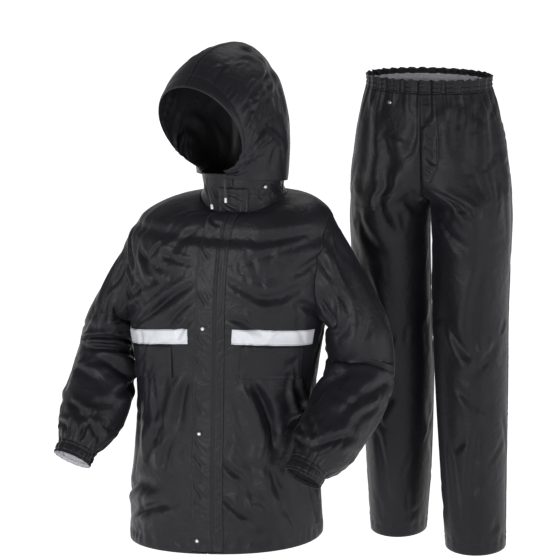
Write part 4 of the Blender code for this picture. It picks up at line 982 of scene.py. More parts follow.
def hood_rows(side):
    """Gives one half's creases in metres, with uneven small ones and the puckers along its drawn edge."""
    own = [row[1:] for row in HOOD_FOLDS if row[0] == side]
    return fold_rows(own, HOOD_TURN, HOOD_LONG) + scatter_rows(HOOD_SMALL_FOLDS, side)


hood_sets = {-1: hood_rows(-1), 1: hood_rows(1)}


def hood_surface(place, turn, side):
    """Gives one half of the hood with its creases, its seam and its stitched edge."""
    points = hood_plain(place, turn)
    normal = hood_normal(place, turn)
    a = np.abs(turn) * HOOD_TURN
    b = place * HOOD_LONG
    sink = press(a, b, hood_sets[side]) * smooth(a / 0.02) * smooth((1.0 - place) / 0.10)
    tunnel = 0.0016 * np.exp(-((b - 0.006) / 0.005) ** 2) - 0.0013 * np.exp(-((b - 0.0155) / 0.0016) ** 2)
    seam = -0.0010 * np.exp(-(a / 0.0014) ** 2) + 0.0005 * np.exp(-((a - 0.0045) / 0.003) ** 2)
    return points + normal * (sink + tunnel + seam)[..., None]


hood_outer = {}
for side, word in ((-1, "right"), (1, "left")):
    turn = np.repeat(side * np.linspace(0.0, 1.0, HOOD_COLUMNS)[None, :], HOOD_GRID_ROWS, axis=0)
    place = np.repeat(np.linspace(0.0, 1.0, HOOD_GRID_ROWS)[:, None], HOOD_COLUMNS, axis=1)
    normal = hood_normal(place, turn)
    mid = hood_surface(place, turn, side) + normal * (CLOTH / 2)
    hood_outer[side] = (mid, normal)
    half = shell_object("hood_%s_cloth" % word, facing(mid, normal), [shell_look], inner_look=lining_look)
    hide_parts("hood_" + word)

# Storm flap
# Two layers of cloth over the front opening, sewn along the wearer's left edge and closed with snaps.
# Its free edge stands a little proud, a groove runs beside it, and short puckers pull at the snaps.
FLAP_HALF_WIDTH_TOP = 0.030
FLAP_HALF_WIDTH_HEM = 0.034
FLAP_HEM_LIFT = 0.004
FLAP_THICK = 0.0016
FLAP_OVER = 0.0028
FLAP_SNAPS = [
    # name, height, across
    ("snap_flap_1", -0.258, -0.012),
    ("snap_flap_2", -0.484, -0.016),
    ("snap_flap_3", -0.716, -0.020),
]
FLAP_FOLDS = [
    # across_from, height_from, across_to, height_to, half_width, depth, lip, bow
    (-0.028, -0.500, -0.004, -0.524, 0.0030, 0.0016, 1.0, 0.001),
    (-0.029, -0.528, -0.006, -0.556, 0.0034, 0.0018, 1.0, 0.001),
    (-0.028, -0.560, -0.004, -0.584, 0.0030, 0.0016, 1.0, -0.001),
    (-0.030, -0.592, -0.006, -0.622, 0.0034, 0.0018, 1.0, 0.001),
    (-0.028, -0.628, -0.006, -0.652, 0.0030, 0.0014, 1.0, 0.001),
    (-0.026, -0.270, -0.006, -0.300, 0.0034, 0.0014, 0.9, 0.001),
    (-0.026, -0.320, -0.006, -0.352, 0.0034, 0.0012, 0.9, 0.001),
    (-0.028, -0.180, -0.006, -0.212, 0.0034, 0.0013, 0.9, -0.001),
    (-0.024, -0.090, -0.004, -0.116, 0.0034, 0.0015, 0.9, 0.001),
    (-0.028, -0.410, -0.008, -0.440, 0.0034, 0.0014, 0.9, 0.001),
    (-0.024, 0.002, 0.010, -0.020, 0.0040, 0.0022, 1.0, 0.002),
    (-0.014, 0.014, 0.020, 0.000, 0.0036, 0.0018, 1.0, -0.002),
    (-0.026, -0.034, 0.004, -0.050, 0.0040, 0.0018, 1.0, 0.002),
]
FLAP_SMALL_FOLDS = [
    # seed, count, box across and up, lean, spread, length, half_width, depth
    (101, 44, (-0.030, 0.010, -0.72, -0.03), -45, 16, (0.012, 0.024), (0.0020, 0.0034), (0.0003, 0.0009)),
    (102, 40, (0.014, 0.032, -0.72, -0.03), 50, 20, (0.008, 0.018), (0.0018, 0.003), (0.0003, 0.0009)),
]
flap_rows = FLAP_FOLDS + scatter_rows(FLAP_SMALL_FOLDS)


def soften(grid, passes):
    """Evens a grid along its rows' direction."""
    for _ in range(passes):
        inner = (grid[:-2] + 2 * grid[1:-1] + grid[2:]) / 4
        grid = np.concatenate([grid[:1], inner, grid[-1:]], axis=0)
    return grid


def flap_turns(half_wide, ring_wide):
    """Gives the turns at which a flap this wide crosses rings, for each column."""
    return np.degrees(np.arcsin((half_wide / ring_wide) ** (1 / FULLNESS)))[:, None] * ways[None, :]


FLAP_COLLAR_TO = 0.667
FLAP_MIDDLE = 20
body_place = np.linspace(0.0, 1.0, 260) ** 0.98
collar_place = np.linspace(0.0, FLAP_COLLAR_TO, 26)[1:]
ways = np.linspace(-1.0, 1.0, 2 * FLAP_MIDDLE + 1)
half = FLAP_HALF_WIDTH_HEM + (FLAP_HALF_WIDTH_TOP - FLAP_HALF_WIDTH_HEM) * body_place
turn = flap_turns(half, between(JACKET_RINGS, body_place)[3])
low_place = np.repeat(body_place[:, None], len(ways), axis=1)
low = body(low_place, turn)
low_normal = body_normal(low_place, turn)
turn_high = flap_turns(FLAP_HALF_WIDTH_TOP, between(COLLAR_RINGS, collar_place)[3])
high_place = np.repeat(collar_place[:, None], len(ways), axis=1)
high = collar_plain(high_place, turn_high)
high_normal = collar_normal(high_place, turn_high)
flap_base = np.concatenate([low, high], axis=0)
flap_normal = unit(soften(np.concatenate([low_normal, high_normal], axis=0), 12))
flap_base = soften(flap_base, 3)
flap_base[0, :, 2] += FLAP_HEM_LIFT
flap_half = np.concatenate([half, np.full(collar_place.shape, FLAP_HALF_WIDTH_TOP)])
flap_across = flap_half[:, None] * ways[None, :]
flap_sink = press(flap_across, flap_base[..., 2], flap_rows)
edge = 0.0011 * np.exp(-((ways + 0.92) / 0.10) ** 2)
groove = -0.0016 * np.exp(-((ways - 0.30) / 0.075) ** 2) + 0.0007 * np.exp(-((ways - 0.52) / 0.10) ** 2)
sewn = -0.0008 * np.exp(-((ways - 0.86) / 0.05) ** 2)
flap_heights = flap_base[:, FLAP_MIDDLE, 2]
wander = 0.0007 * np.sin(flap_heights * 55.0) + 0.0004 * np.sin(flap_heights * 131.0 + 1.0)
profile = (edge + groove + sewn)[None, :] + wander[:, None] * np.exp(-((ways + 0.9) / 0.25) ** 2)[None, :]
near_neck = 0.0014 * smooth((flap_heights + 0.06) / 0.03)
flap_mid = flap_base + flap_normal * (FLAP_OVER + profile + near_neck[:, None] + flap_sink)[..., None]
flap = shell_object("storm_flap_cloth", facing(flap_mid, flap_normal), [shell_look], thick=FLAP_THICK)
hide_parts("storm_flap")

# Chest flaps and reflective tape
# On each front a flap hangs below a length of silver tape 32 mm wide. The tape is stitched along both
# edges, and the flap's lower corners lift a little.
CHEST_PLACES = (0.470, 0.568)
CHEST_TURNS = [
    # name, turn_from, turn_to
    ("chest_flap_left", 17.0, 62.0),
    ("chest_flap_right", -66.0, -22.0),
]
TAPE_PLACES = (0.573, 0.6185)
TAPE_TURNS = [
    # name, turn_from, turn_to
    ("tape_left", 11.2, 72.0),
    ("tape_right", -87.0, -11.2),
]
TAPE_THICK = 0.0010
TAPE_OVER = 0.0018
CHEST_THICK = 0.0014
CHEST_OVER = 0.0028


def lay_on_front(places, turns, over, bend):
    """Gives a grid laid on the front, lifted by a height and a bend, with its normals."""
    place = np.repeat(places[:, None], len(turns), axis=1)
    turn = np.repeat(turns[None, :], len(places), axis=0)
    normal = body_normal(place, turn)
    return body(place, turn) + normal * (over + bend)[..., None], normal


chest_grids = {}
for name, turn_from, turn_to in CHEST_TURNS:
    places = np.linspace(*CHEST_PLACES, 30)
    turns = np.linspace(turn_from, turn_to, 90)
    down = (CHEST_PLACES[1] - places) / (CHEST_PLACES[1] - CHEST_PLACES[0])
    side_way = np.abs(np.linspace(-1.0, 1.0, len(turns)))
    bend = 0.0018 * smooth(down)[:, None] * (0.5 + 0.5 * smooth((side_way - 0.6) / 0.4))[None, :]
    bend = bend + 0.0007 * np.sin(np.linspace(0, 9.0, len(turns)))[None, :] * down[:, None]
    hem = -0.0006 * np.exp(-((down - 0.88) / 0.04) ** 2)
    mid, normal = lay_on_front(places, turns, CHEST_OVER, bend + hem[:, None])
    chest_grids[name] = (mid, normal)
    made = shell_object(name + "_cloth", facing(mid, normal), [shell_look], thick=CHEST_THICK)
    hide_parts(name)

tape_look, tape_nodes, tape_links, tape_shader = new_material("reflective_silver")
tape_tone = object_noise(tape_nodes, tape_links, 22.0, 3.0, 0.5, 0.4)
tape_tint = ramp_between(tape_nodes, tape_links, tape_tone.outputs["Fac"], (0.62, 0.63, 0.68),
                         (0.76, 0.77, 0.82))
tape_links.new(tape_tint.outputs["Color"], tape_shader.inputs["Base Color"])
tape_shader.inputs["Roughness"].default_value = 0.42
tape_shader.inputs["Metallic"].default_value = 0.15
beads = object_noise(tape_nodes, tape_links, 2600.0, 1.0)
ribs = object_noise(tape_nodes, tape_links, 90.0, 3.0, 0.5, 0.3)
bump_from(tape_nodes, tape_links, tape_shader, [(beads.outputs["Fac"], 0.15, 0.0001),
                                                (ribs.outputs["Fac"], 0.25, 0.0006)])
tape_grids = {}
for name, turn_from, turn_to in TAPE_TURNS:
    places = np.linspace(*TAPE_PLACES, 14)
    turns = np.linspace(turn_from, turn_to, 150)
    way = np.linspace(-1.0, 1.0, len(places))
    bend = 0.0005 * (1.0 - way ** 4)[:, None] + np.zeros((1, len(turns)))
    mid, normal = lay_on_front(places, turns, TAPE_OVER, bend)
    tape_grids[name] = (mid, normal)
    made = shell_object(name + "_silver", facing(mid, normal), [tape_look], thick=TAPE_THICK)
    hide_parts(name)

# Snaps
# Pressed snaps, three down the storm flap and one on the collar. Each is a dark ring 12 mm
# across with a satin metal button standing in its middle, clenched through the cloth.
metal_look = make_finish("snap_satin", 400.0, (0.52, 0.52, 0.55), (0.66, 0.66, 0.69), 0.32, (0.1, 0.0001),
                         detail=3.0, metallic=1.0)
ring_look = make_finish("snap_ring_dark", 300.0, (0.008, 0.008, 0.009), (0.014, 0.014, 0.016), 0.35)
SNAP_PROFILE = [
    # radius, height, 0 for the dark ring or 1 for the metal cap
    (0.0060, 0.0000, 0), (0.0061, 0.0007, 0), (0.0058, 0.0012, 0), (0.0048, 0.0014, 0), (0.0036, 0.0010, 0),
    (0.0034, 0.0010, 1), (0.0033, 0.0017, 1), (0.0029, 0.0021, 1), (0.0022, 0.0022, 1), (0.0014, 0.0021, 1),
    (0.0006, 0.0021, 1),
]
SNAP_SIDES = 40
COLLAR_SNAP_PLACE = 0.667
COLLAR_SNAP_TURN = 46.0
SNAP_OVER = 0.0003


def make_snap(name, point, normal):
    """Turns one snap from its profile and sets it on a point."""
    angle = np.arange(SNAP_SIDES) * 2 * np.pi / SNAP_SIDES
    points = [(r * np.cos(a), r * np.sin(a), h) for r, h, _ in SNAP_PROFILE for a in angle]
    points.append((0.0, 0.0, SNAP_PROFILE[-1][1]))
    faces = []
    kinds = []
    for k in range(len(SNAP_PROFILE) - 1):
        below = k * SNAP_SIDES
        above = below + SNAP_SIDES
        for c in range(SNAP_SIDES):
            n = (c + 1) % SNAP_SIDES
            faces.append((below + c, below + n, above + n, above + c))
            kinds.append(SNAP_PROFILE[k + 1][2])
    top = (len(SNAP_PROFILE) - 1) * SNAP_SIDES
    for c in range(SNAP_SIDES):
        faces.append((top + c, top + (c + 1) % SNAP_SIDES, len(points) - 1))
        kinds.append(1)
    faces.append(tuple(reversed(range(SNAP_SIDES))))
    kinds.append(0)
    mesh = bpy.data.meshes.new(name)
    mesh.from_pydata(points, [], faces)
    mesh.materials.append(ring_look)
    mesh.materials.append(metal_look)
    for face, kind in zip(mesh.polygons, kinds):
        face.material_index = kind
        face.use_smooth = len(face.vertices) < 5
    made = add_object(name, mesh)
    way = Vector([float(v) for v in normal])
    made.rotation_euler = way.to_track_quat("Z", "Y").to_euler()
    made.location = Vector([float(v) for v in point])
    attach(made, "root")
    return made


for name, height, across in FLAP_SNAPS:
    row = int(np.argmin(np.abs(flap_mid[:, FLAP_MIDDLE, 2] - height)))
    column = int(np.argmin(np.abs(flap_across[row] - across)))
    normal = flap_normal[row, column]
    cap = make_snap(name + "_cap", flap_mid[row, column] + normal * SNAP_OVER, normal)
    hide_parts(name)
place = np.array([COLLAR_SNAP_PLACE])
turn = np.array([COLLAR_SNAP_TURN])
point = collar_surface(place, turn)[0]
normal = collar_normal(place, turn)[0]
cap = make_snap("snap_collar_cap", point + normal * 3 * SNAP_OVER, normal)
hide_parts("snap_collar")

# Jacket stitching
# Rows of lock stitches in black thread, one every 3.4 mm. They run along the hem, side seams,
# shoulders, armholes, flaps, tape, collar, hood and cuffs.
thread_look = make_finish("thread_black", 700.0, (0.020, 0.020, 0.023), (0.048, 0.048, 0.053), 0.6,
                          (0.3, 0.0002))
STITCH_STEP = 0.0034
STITCH_LONG = 0.0024
STITCH_HALF = 0.00032
STITCH_HIGH = 0.00036


def stitch_row(points, normals, lift=0.00005):
    """Gives the corners of the stitches along one line on a surface."""
    step = np.linalg.norm(np.diff(points, axis=0), axis=1)
    run = np.concatenate([[0.0], np.cumsum(step)])
    count = int(run[-1] / STITCH_STEP)
    starts = (np.arange(count) + 0.15) * STITCH_STEP
    out = []
    place = [np.stack([np.interp(starts + d, run, points[:, k]) for k in range(3)], axis=-1)
             for d in (0.0, STITCH_LONG)]
    way_up = unit(np.stack([np.interp(starts, run, normals[:, k]) for k in range(3)], axis=-1))
    for a, b, n in zip(place[0], place[1], way_up):
        ahead = (b - a) / max(np.linalg.norm(b - a), 1e-9)
        across = np.cross(ahead, n) * STITCH_HALF
        low = n * lift
        high = n * (STITCH_HIGH + lift)
        inset = ahead * STITCH_LONG * 0.25
        start = a + low + inset * 0.5
        stop = b + low - inset * 0.5
        out.append([a + low, start + across, stop + across, b + low, stop - across, start - across,
                    a + inset + high, b - inset + high])
    return out


STITCH_FACES = [(0, 1, 6), (1, 2, 7, 6), (2, 3, 7), (3, 4, 7), (4, 5, 6, 7), (5, 0, 6)]


def stitch_object(name, lines, look):
    """Joins the stitches of many lines into one piece."""
    stitches = [s for points, normals in lines for s in stitch_row(points, normals)]
    points = np.array(stitches).reshape(-1, 3)
    faces = [tuple(8 * i + k for k in face) for i in range(len(stitches)) for face in STITCH_FACES]
    mesh = bpy.data.meshes.new(name)
    mesh.from_pydata(points.tolist(), [], faces)
    mesh.materials.append(look)
    made = add_object(name, mesh)
    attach(made, "root")
    return made


def body_line(places, turns):
    """Gives a line on the creased body, on the cloth's outer face."""
    normal = body_normal(places, turns)
    return body(places, turns) + normal * (CLOTH / 2), normal


lines = []
ARMHOLE_STITCH_OFF = 1.8
SIDE_STITCH_OFF = 1.6
SHOULDER_STITCH_OFF = 2.0
hem_turns = np.linspace(12.0, 348.0, 700)
hem_place = HEM_LINE / BODY_LONG
lines.append(body_line(np.full(hem_turns.shape, hem_place), hem_turns))
for side in (-1, 1):
    side_places = np.linspace(0.0, UNDERARM_PLACE, 300)
    lines.append(body_line(side_places, np.full(side_places.shape, side * (90.0 + SIDE_STITCH_OFF))))
    shoulder = np.linspace(TIP_PLACE + 0.002, 0.997, 120)
    lines.append(body_line(shoulder, np.full(shoulder.shape, side * (90.0 + SHOULDER_STITCH_OFF))))
    lines.append(body_line(*armhole_path(side, np.linspace(0.0, 1.0, 300), ARMHOLE_STITCH_OFF)))
for column in (2, 37):
    lines.append((flap_mid[3:-2, column], flap_normal[3:-2, column]))
lines.append((flap_mid[3, 2:38], flap_normal[3, 2:38]))
lines.append((flap_mid[-3, 2:38], flap_normal[-3, 2:38]))
for mid, normal in chest_grids.values():
    lines.append((mid[3, 2:-2], normal[3, 2:-2]))
    lines.append((mid[3:-1, 2], normal[3:-1, 2]))
    lines.append((mid[3:-1, -3], normal[3:-1, -3]))
for mid, normal in tape_grids.values():
    lines.append((mid[1, 1:-1], normal[1, 1:-1]))
    lines.append((mid[-2, 1:-1], normal[-2, 1:-1]))
turns = np.linspace(26.0, 334.0, 500)
place = np.full(turns.shape, COLLAR_STITCH_PLACE)
normal = collar_normal(place, turns)
lines.append((collar_surface(place, turns) + normal * (CLOTH / 2), normal))
for side in (-1, 1):
    mid, normal = hood_outer[side]
    lines.append((mid[7], normal[7]))
    lines.append((mid[8:-1, 2], normal[8:-1, 2]))
    mid, normal = cuff_outer[side]
    for row in (5, 19):
        lines.append((close_ring(mid)[row], close_ring(normal)[row]))
stitching = stitch_object("jacket_stitching", lines, thread_look)

# Trousers
# Four panels of a slightly darker cloth with a silver inside, gathered into the waist casing. Long
# soft folds hang from the gathers, and the legs are open at the hem.
TROUSER_CENTRE_Y = 0.240
RISE_RINGS = [
    # place, height, centre_x, half_width, front_depth, back_depth, spread
    (0.000, 0.1980, 0.3430, 0.1340, 0.1000, 0.1000, 90),
    (0.040, 0.1680, 0.3440, 0.1430, 0.1060, 0.1070, 90),
    (0.120, 0.1000, 0.3475, 0.1590, 0.1140, 0.1190, 91),
    (0.190, 0.0300, 0.3500, 0.1680, 0.1180, 0.1240, 100),
    (0.230, -0.0100, 0.3510, 0.1715, 0.1190, 0.1240, 120),
    (0.265, -0.0450, 0.3520, 0.1720, 0.1180, 0.1220, 180),
]
LEG_RIGHT = [
    # place, height, centre_x, centre_y, half_wide, half_deep
    (0.265, -0.045, 0.2660, 0.240, 0.0860, 0.1200),
    (0.310, -0.085, 0.2630, 0.245, 0.0850, 0.1150),
    (0.430, -0.250, 0.2670, 0.261, 0.0820, 0.1040),
    (0.640, -0.450, 0.2760, 0.275, 0.0790, 0.0950),
    (0.830, -0.650, 0.2790, 0.288, 0.0715, 0.0880),
    (1.000, -0.806, 0.2775, 0.300, 0.0620, 0.0780),
]
LEG_LEFT = [
    # place, height, centre_x, centre_y, half_wide, half_deep
    (0.265, -0.045, 0.4380, 0.240, 0.0860, 0.1200),
    (0.310, -0.085, 0.4410, 0.239, 0.0850, 0.1150),
    (0.430, -0.250, 0.4420, 0.233, 0.0820, 0.1040),
    (0.640, -0.450, 0.4490, 0.226, 0.0780, 0.0950),
    (0.830, -0.650, 0.4575, 0.222, 0.0710, 0.0880),
    (1.000, -0.806, 0.4650, 0.220, 0.0655, 0.0780),
]
CROTCH_PLACE = 0.265
WAIST_GATHERS = 26
CASING_TOP = 0.2260
LEG_DEGREE = 0.0016
TROUSER_HEM = 0.025
GATHER_DEPTH = 0.0026
SEAM_CALM = 0.05
SEAM_HALF = 0.007
TROUSER_FOLDS = [
    # side, turn_from, height_from, turn_to, height_to, half_width, depth, lip, bow
    (1, -72, 0.145, -84, 0.050, 0.009, 0.0050, 0.8, 0.004),
    (1, -57, 0.180, -62, 0.070, 0.009, 0.0045, 0.8, 0.003),
    (1, -36, 0.188, -50, 0.020, 0.012, 0.0060, 0.8, 0.004),
    (1, -50, 0.020, -62, -0.080, 0.012, 0.0050, 0.7, -0.004),
    (1, -20, 0.170, -30, -0.020, 0.012, 0.0045, 0.7, 0.005),
    (1, -100, -0.005, -70, -0.070, 0.009, 0.0055, 0.9, 0.004),
    (1, -130, -0.060, -80, -0.130, 0.010, 0.0045, 0.8, 0.006),
    (1, -60, -0.160, -76, -0.330, 0.014, 0.0045, 0.7, 0.006),
    (1, -110, -0.300, -60, -0.380, 0.012, 0.0050, 0.8, 0.008),
    (1, -40, -0.340, -90, -0.410, 0.012, 0.0045, 0.8, -0.006),
    (1, -100, -0.430, -50, -0.480, 0.012, 0.0045, 0.8, 0.006),
    (1, -70, -0.520, -80, -0.700, 0.013, 0.0045, 0.7, 0.005),
    (1, -120, -0.560, -110, -0.740, 0.012, 0.0040, 0.7, -0.005),
    (-1, -58, 0.114, -72, 0.010, 0.011, 0.0055, 0.8, 0.004),
    (-1, -72, 0.026, -112, -0.110, 0.010, 0.0055, 0.9, -0.006),
    (-1, -34, 0.170, -44, 0.000, 0.012, 0.0050, 0.8, 0.005),
    (-1, -88, 0.140, -80, 0.060, 0.008, 0.0040, 0.8, 0.003),
    (-1, -101, -0.005, -148, -0.064, 0.009, 0.0060, 0.9, 0.003),
    (-1, -50, -0.060, -90, -0.150, 0.012, 0.0045, 0.8, -0.006),
    (-1, -62, -0.180, -74, -0.340, 0.014, 0.0045, 0.7, 0.006),
    (-1, -100, -0.330, -54, -0.400, 0.012, 0.0050, 0.8, 0.008),
    (-1, -44, -0.380, -92, -0.440, 0.012, 0.0045, 0.8, -0.006),
    (-1, -96, -0.470, -60, -0.520, 0.012, 0.0040, 0.8, 0.006),
    (-1, -66, -0.560, -78, -0.720, 0.013, 0.0045, 0.7, 0.005),
    (1, 60, 0.150, 66, -0.060, 0.012, 0.0055, 0.8, 0.005),
    (1, 90, 0.020, 60, -0.100, 0.012, 0.0050, 0.8, -0.006),
    (1, 50, -0.340, 110, -0.400, 0.012, 0.0055, 0.8, 0.006),
    (1, 60, -0.420, 110, -0.460, 0.012, 0.0045, 0.8, 0.006),
    (1, 76, -0.500, 84, -0.720, 0.013, 0.0045, 0.7, 0.005),
    (-1, 60, 0.150, 66, -0.060, 0.012, 0.0055, 0.8, 0.005),
    (-1, 90, 0.020, 60, -0.100, 0.012, 0.0050, 0.8, -0.006),
    (-1, 50, -0.360, 110, -0.410, 0.012, 0.0055, 0.8, 0.006),
    (-1, 60, -0.440, 110, -0.480, 0.012, 0.0045, 0.8, 0.006),
    (-1, 76, -0.520, 84, -0.720, 0.013, 0.0045, 0.7, 0.005),
    (1, 10, 0.100, 4, -0.200, 0.014, 0.0040, 0.6, 0.006),
    (-1, 10, 0.100, 4, -0.200, 0.014, 0.0040, 0.6, -0.006),
]
trouser_look = make_cloth("trouser_shell", (0.0046, 0.0045, 0.0066), (0.0082, 0.0080, 0.0114), 0.45, 0.34)
TROUSER_SMALL_FOLDS = [
    # seed, count, box round and up, lean, spread, length, half_width, depth
    (121, 60, (-0.29, 0.29, -0.10, 0.18), 84, 16, (0.03, 0.12), (0.005, 0.010), (0.0006, 0.0022)),
    (125, 60, (-0.29, 0.29, -0.78, -0.10), 70, 40, (0.03, 0.10), (0.006, 0.012), (0.0006, 0.0020)),
    (131, 44, (-0.020, 0.020, -0.78, 0.16), 10, 14, (0.010, 0.026), (0.0026, 0.005), (0.0004, 0.0012)),
]
trouser_sets = {}
for side in (-1, 1):
    own = [row[1:] for row in TROUSER_FOLDS if row[0] == side]
    trouser_sets[side] = fold_rows(own, LEG_DEGREE) + scatter_rows(TROUSER_SMALL_FOLDS, side)


def trouser_plain(side, place, way):
    """Gives one half of the trousers with no creases: way -1 is the front centre or inseam, 0 the side."""
    table = LEG_LEFT if side > 0 else LEG_RIGHT
    _, height, centre, wide, front, rear, spread = between(RISE_RINGS, np.minimum(place, CROTCH_PLACE))
    spread = np.clip(spread, 90.0, 180.0)
    half = wide / (1.0 - np.cos(np.radians(spread)))
    middle = centre - side * half * np.cos(np.radians(spread))
    _, leg_height, leg_x, leg_y, leg_wide, leg_deep = between(table, place)
    leg = place > CROTCH_PLACE
    height = np.where(leg, leg_height, height)
    middle = np.where(leg, leg_x, middle)
    middle_y = np.where(leg, leg_y, TROUSER_CENTRE_Y)
    half = np.where(leg, leg_wide, half)
    front = np.where(leg, leg_deep, front)
    rear = np.where(leg, leg_deep, rear)
    turn = np.radians(np.where(leg, 180.0, spread)) * way
    depth = np.where(turn < 0, front, rear)
    points = np.stack([middle + side * half * np.cos(turn), middle_y + depth * np.sin(turn), height], axis=-1)
    return points, np.degrees(turn)


def waist_wave(angle):
    """Gives the waist's gathers at angles round it from the front centre, in radians."""
    return uneven_wave(np.degrees(angle), WAIST_GATHERS, 5, 0.5)


def waist_reach(angle):
    """Gives how far down each gather runs, in metres."""
    return 0.045 + 0.018 * np.sin(5 * angle + 0.7) + 0.012 * np.sin(11 * angle + 2.0)


def trouser_half(side, place, way):
    """Gives one half of the trousers with its gathers and creases, and its normals."""
    plain, turn = trouser_plain(side, place, way)
    along = np.gradient(plain, axis=0)
    round_it = np.gradient(plain, axis=1)
    normal = unit(np.cross(round_it, along)) * -side
    height = plain[..., 2]
    sink = press(turn * LEG_DEGREE, height, trouser_sets[side])
    angle = side * np.pi / 2 * (way + 1.0)
    down = np.maximum(RISE_RINGS[0][1] - height, 0.0)
    fade = np.exp(-(down / waist_reach(angle)) ** 2)
    near_top = smooth(down / 0.03)
    level = unit(normal * np.array([1.0, 1.0, 0.05]))
    seam_off = np.minimum(np.abs(way), 1.0 - np.abs(way))
    calm = smooth(seam_off / SEAM_CALM)
    groove = -0.0010 * (np.exp(-(way / SEAM_HALF) ** 2) + np.exp(-((1.0 - np.abs(way)) / SEAM_HALF) ** 2))
    above_stitches = height - (LEG_RIGHT[-1][1] + TROUSER_HEM)
    hem = -0.0009 * np.exp(-(above_stitches / 0.002) ** 2)
    ripple = 0.0008 * np.sin(turn * LEG_DEGREE * 210) * np.exp(-(above_stitches / 0.012) ** 2)
    gathers = GATHER_DEPTH * waist_wave(angle) * fade
    lift = sink * near_top * calm + gathers + groove + hem + ripple + CLOTH / 2
    return plain + level * lift[..., None], normal


RISE_ROWS = 84
LEG_ROWS = 140
HALF_COLUMNS = 68
rise = np.linspace(0.0, CROTCH_PLACE, RISE_ROWS)
leg = CROTCH_PLACE + (1.0 - CROTCH_PLACE) * np.linspace(0.0, 1.0, LEG_ROWS)[1:] ** 1.05
trouser_places = np.concatenate([rise, leg])
trouser_grids = {}
for side, word in ((-1, "right"), (1, "left")):
    ways = np.linspace(-1.0, 1.0, 2 * HALF_COLUMNS + 1)
    place = np.repeat(trouser_places[:, None], len(ways), axis=1)
    way = np.repeat(ways[None, :], len(trouser_places), axis=0)
    mid, normal = trouser_half(side, place, way)
    trouser_grids[side] = (mid, normal)
    for part, grid, out in (("front", mid[:, :HALF_COLUMNS + 1], normal[:, :HALF_COLUMNS + 1]),
                            ("back", mid[:, HALF_COLUMNS:], normal[:, HALF_COLUMNS:])):
        made = shell_object("trouser_%s_%s_cloth" % (part, word), facing(grid, out), [trouser_look],
                            inner_look=silver_look)
        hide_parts("trouser_%s_%s" % (part, word))

# Waist casing
# A band 28 mm high with elastic inside, drawn in to 26 uneven gathers. It is turned over at the top, so
# the inside is black above and silver below.
CASING_COLUMNS = 520
CASING_ROWS = 26
CASING_THICK = 0.0014
CASING_TURNED_IN = 0.015
ELASTIC_WAYS = (0.18, 0.50, 0.82)
angle = np.linspace(0.0, 2 * np.pi, CASING_COLUMNS, endpoint=False)
angle = np.where(angle > np.pi, angle - 2 * np.pi, angle)
heights = np.linspace(RISE_RINGS[0][1], CASING_TOP, CASING_ROWS)
_, _, centre, wide, front, rear, _ = between(RISE_RINGS, 0.0)
up_way = (heights - heights[0]) / (heights[-1] - heights[0])
pinch = sum(np.exp(-((up_way - at) / 0.045) ** 2) for at in ELASTIC_WAYS)
depth = np.where(np.cos(angle) > 0, front, rear)
out_way = unit(np.stack([np.sin(angle) / wide, -np.cos(angle) / depth, 0 * angle], axis=-1))
narrow = 1.0 - 0.010 * np.sin(np.pi * up_way)
x = centre + wide * narrow[:, None] * np.sin(angle)[None, :]
y = TROUSER_CENTRE_Y - depth[None, :] * narrow[:, None] * np.cos(angle)[None, :]
fine_wave = uneven_wave(np.degrees(angle), 61, 9, 0.6)
top_wave = uneven_wave(np.degrees(angle), 37, 13, 0.6)
z = heights[:, None] + 0.0016 * top_wave[None, :] * up_way[:, None] ** 2
lift = (GATHER_DEPTH * waist_wave(angle) + 0.0007 * fine_wave)[None, :] * (1.0 - 0.35 * pinch)[:, None]
lift = lift - 0.0010 * pinch[:, None] + CLOTH / 2
casing_mid = np.stack([x, y, z], axis=-1) + out_way[None] * lift[..., None]
casing_normal = np.repeat(out_way[None], len(heights), axis=0)
casing = shell_object("waist_casing_cloth", casing_mid, [trouser_look, trouser_look], closed=True,
                      thick=CASING_THICK, inner_look=silver_look)
# the inside takes the next material of the list: black for faces of the first, silver for the second
casing.modifiers["thickness"].material_offset = 1
for face in casing.data.polygons:
    face.material_index = 0 if face.center.z > RISE_RINGS[0][1] + CASING_TURNED_IN else 1
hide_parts("waist_casing")

# Fly
# A shaped facing stitched on the wearer's left front. It runs straight down and then curves in to the
# seam. Its rows and columns count the same steps as those of the solid.
SOLID_RISE_ROWS = 9.0
SOLID_HALF_COLUMNS = 26.0
FLY_FIRST_ROW = 1.0
FLY_LAST_ROW = 7.0
FLY_CURVE_ROW = 4.6
FLY_CURVE = 2.2
FLY_NARROW = 0.88
FLY_INNER = 0.3
FLY_WIDE = 1.7
FLY_OVER = 0.0022
FLY_THICK = 0.0014
fly_v = np.linspace(0.0, 1.0, 110)
fly_u = np.linspace(0.0, 1.0, 26)
fly_row = FLY_FIRST_ROW + (FLY_LAST_ROW - FLY_FIRST_ROW) * fly_v
fly_curved = np.clip((fly_row - FLY_CURVE_ROW) / (FLY_LAST_ROW - FLY_CURVE_ROW), 0.0, 1.0) ** FLY_CURVE
fly_column = FLY_INNER + (FLY_WIDE - FLY_NARROW * fly_curved)[:, None] * fly_u[None, :]
fly_place = np.repeat((CROTCH_PLACE * fly_row / SOLID_RISE_ROWS)[:, None], len(fly_u), axis=1)
mid, normal = trouser_grids[1]
row_at = np.interp(fly_place, trouser_places, np.arange(len(trouser_places)))
column_at = np.clip(fly_column / SOLID_HALF_COLUMNS * (2 * HALF_COLUMNS), 0, 2 * HALF_COLUMNS - 1e-6)
r0 = np.floor(row_at).astype(int)
c0 = np.floor(column_at).astype(int)
fr = (row_at - r0)[..., None]
fc = (column_at - c0)[..., None]


def at_grid(grid):
    """Gives values between the points of the trouser grid."""
    return (grid[r0, c0] * (1 - fr) * (1 - fc) + grid[r0 + 1, c0] * fr * (1 - fc)
            + grid[r0, c0 + 1] * (1 - fr) * fc + grid[r0 + 1, c0 + 1] * fr * fc)


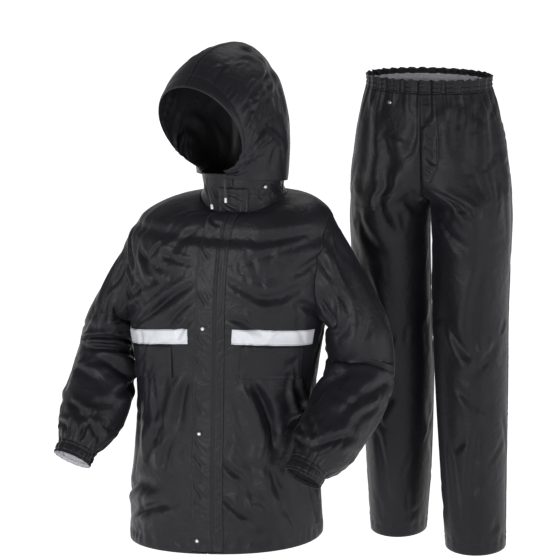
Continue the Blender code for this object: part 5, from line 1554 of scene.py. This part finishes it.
fly_normal = unit(at_grid(normal))
FLY_FOLDS = [
    # across_from, height_from, across_to, height_to, half_width, depth, lip, bow
    (0.004, 0.120, 0.022, 0.104, 0.0030, 0.0012, 1.0, 0.001),
    (0.002, 0.092, 0.024, 0.074, 0.0034, 0.0014, 1.0, -0.001),
    (0.006, 0.068, 0.026, 0.052, 0.0034, 0.0014, 1.0, 0.001),
    (0.002, 0.050, 0.020, 0.036, 0.0034, 0.0012, 1.0, 0.001),
]
fly_base = at_grid(mid)
fly_out = np.linalg.norm(fly_base - fly_base[:, :1], axis=-1)
fly_edge = 0.0008 * np.exp(-((fly_u - 0.94) / 0.06) ** 2)[None, :]
fly_folds = press(fly_out, fly_base[..., 2], FLY_FOLDS)
fly_mid = fly_base + fly_normal * (FLY_OVER + fly_edge + fly_folds)[..., None]
fly = shell_object("fly_flap_cloth", facing(fly_mid, fly_normal), [trouser_look], thick=FLY_THICK)
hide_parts("fly_flap")

# Trouser snap and stitching
# One snap of the same kind closes the top of the fly. Lock stitches in the same thread run along the
# casing, the seams, the fly and both hems.
mid, normal = trouser_grids[-1]
SNAP_ROW = 1.0
SNAP_COLUMN = 4.0
row = int(np.argmin(np.abs(trouser_places - CROTCH_PLACE * SNAP_ROW / SOLID_RISE_ROWS)))
column = int(round(SNAP_COLUMN / SOLID_HALF_COLUMNS * 2 * HALF_COLUMNS))
cap = make_snap("snap_waist_cap", mid[row, column] + normal[row, column] * 2 * SNAP_OVER, normal[row, column])
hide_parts("snap_waist")
lines = []
for side in (-1, 1):
    mid, normal = trouser_grids[side]
    heights = mid[:, HALF_COLUMNS, 2]
    hem_row = int(np.argmin(np.abs(heights - (LEG_RIGHT[-1][1] + TROUSER_HEM))))
    lines.append((mid[hem_row], normal[hem_row]))
    lines.append((mid[2:-1, HALF_COLUMNS + 2], normal[2:-1, HALF_COLUMNS + 2]))
    lines.append((mid[8:60, 2], normal[8:60, 2]))
    lines.append((mid[3:83, -3], normal[3:83, -3]))
for row in (5, 13, 21):
    lines.append((close_ring(casing_mid)[row], close_ring(casing_normal)[row]))
lines.append((fly_mid[:, -3], fly_normal[:, -3]))
lines.append((fly_mid[:, -6], fly_normal[:, -6]))
trouser_stitching = stitch_object("trouser_stitching", lines, thread_look)
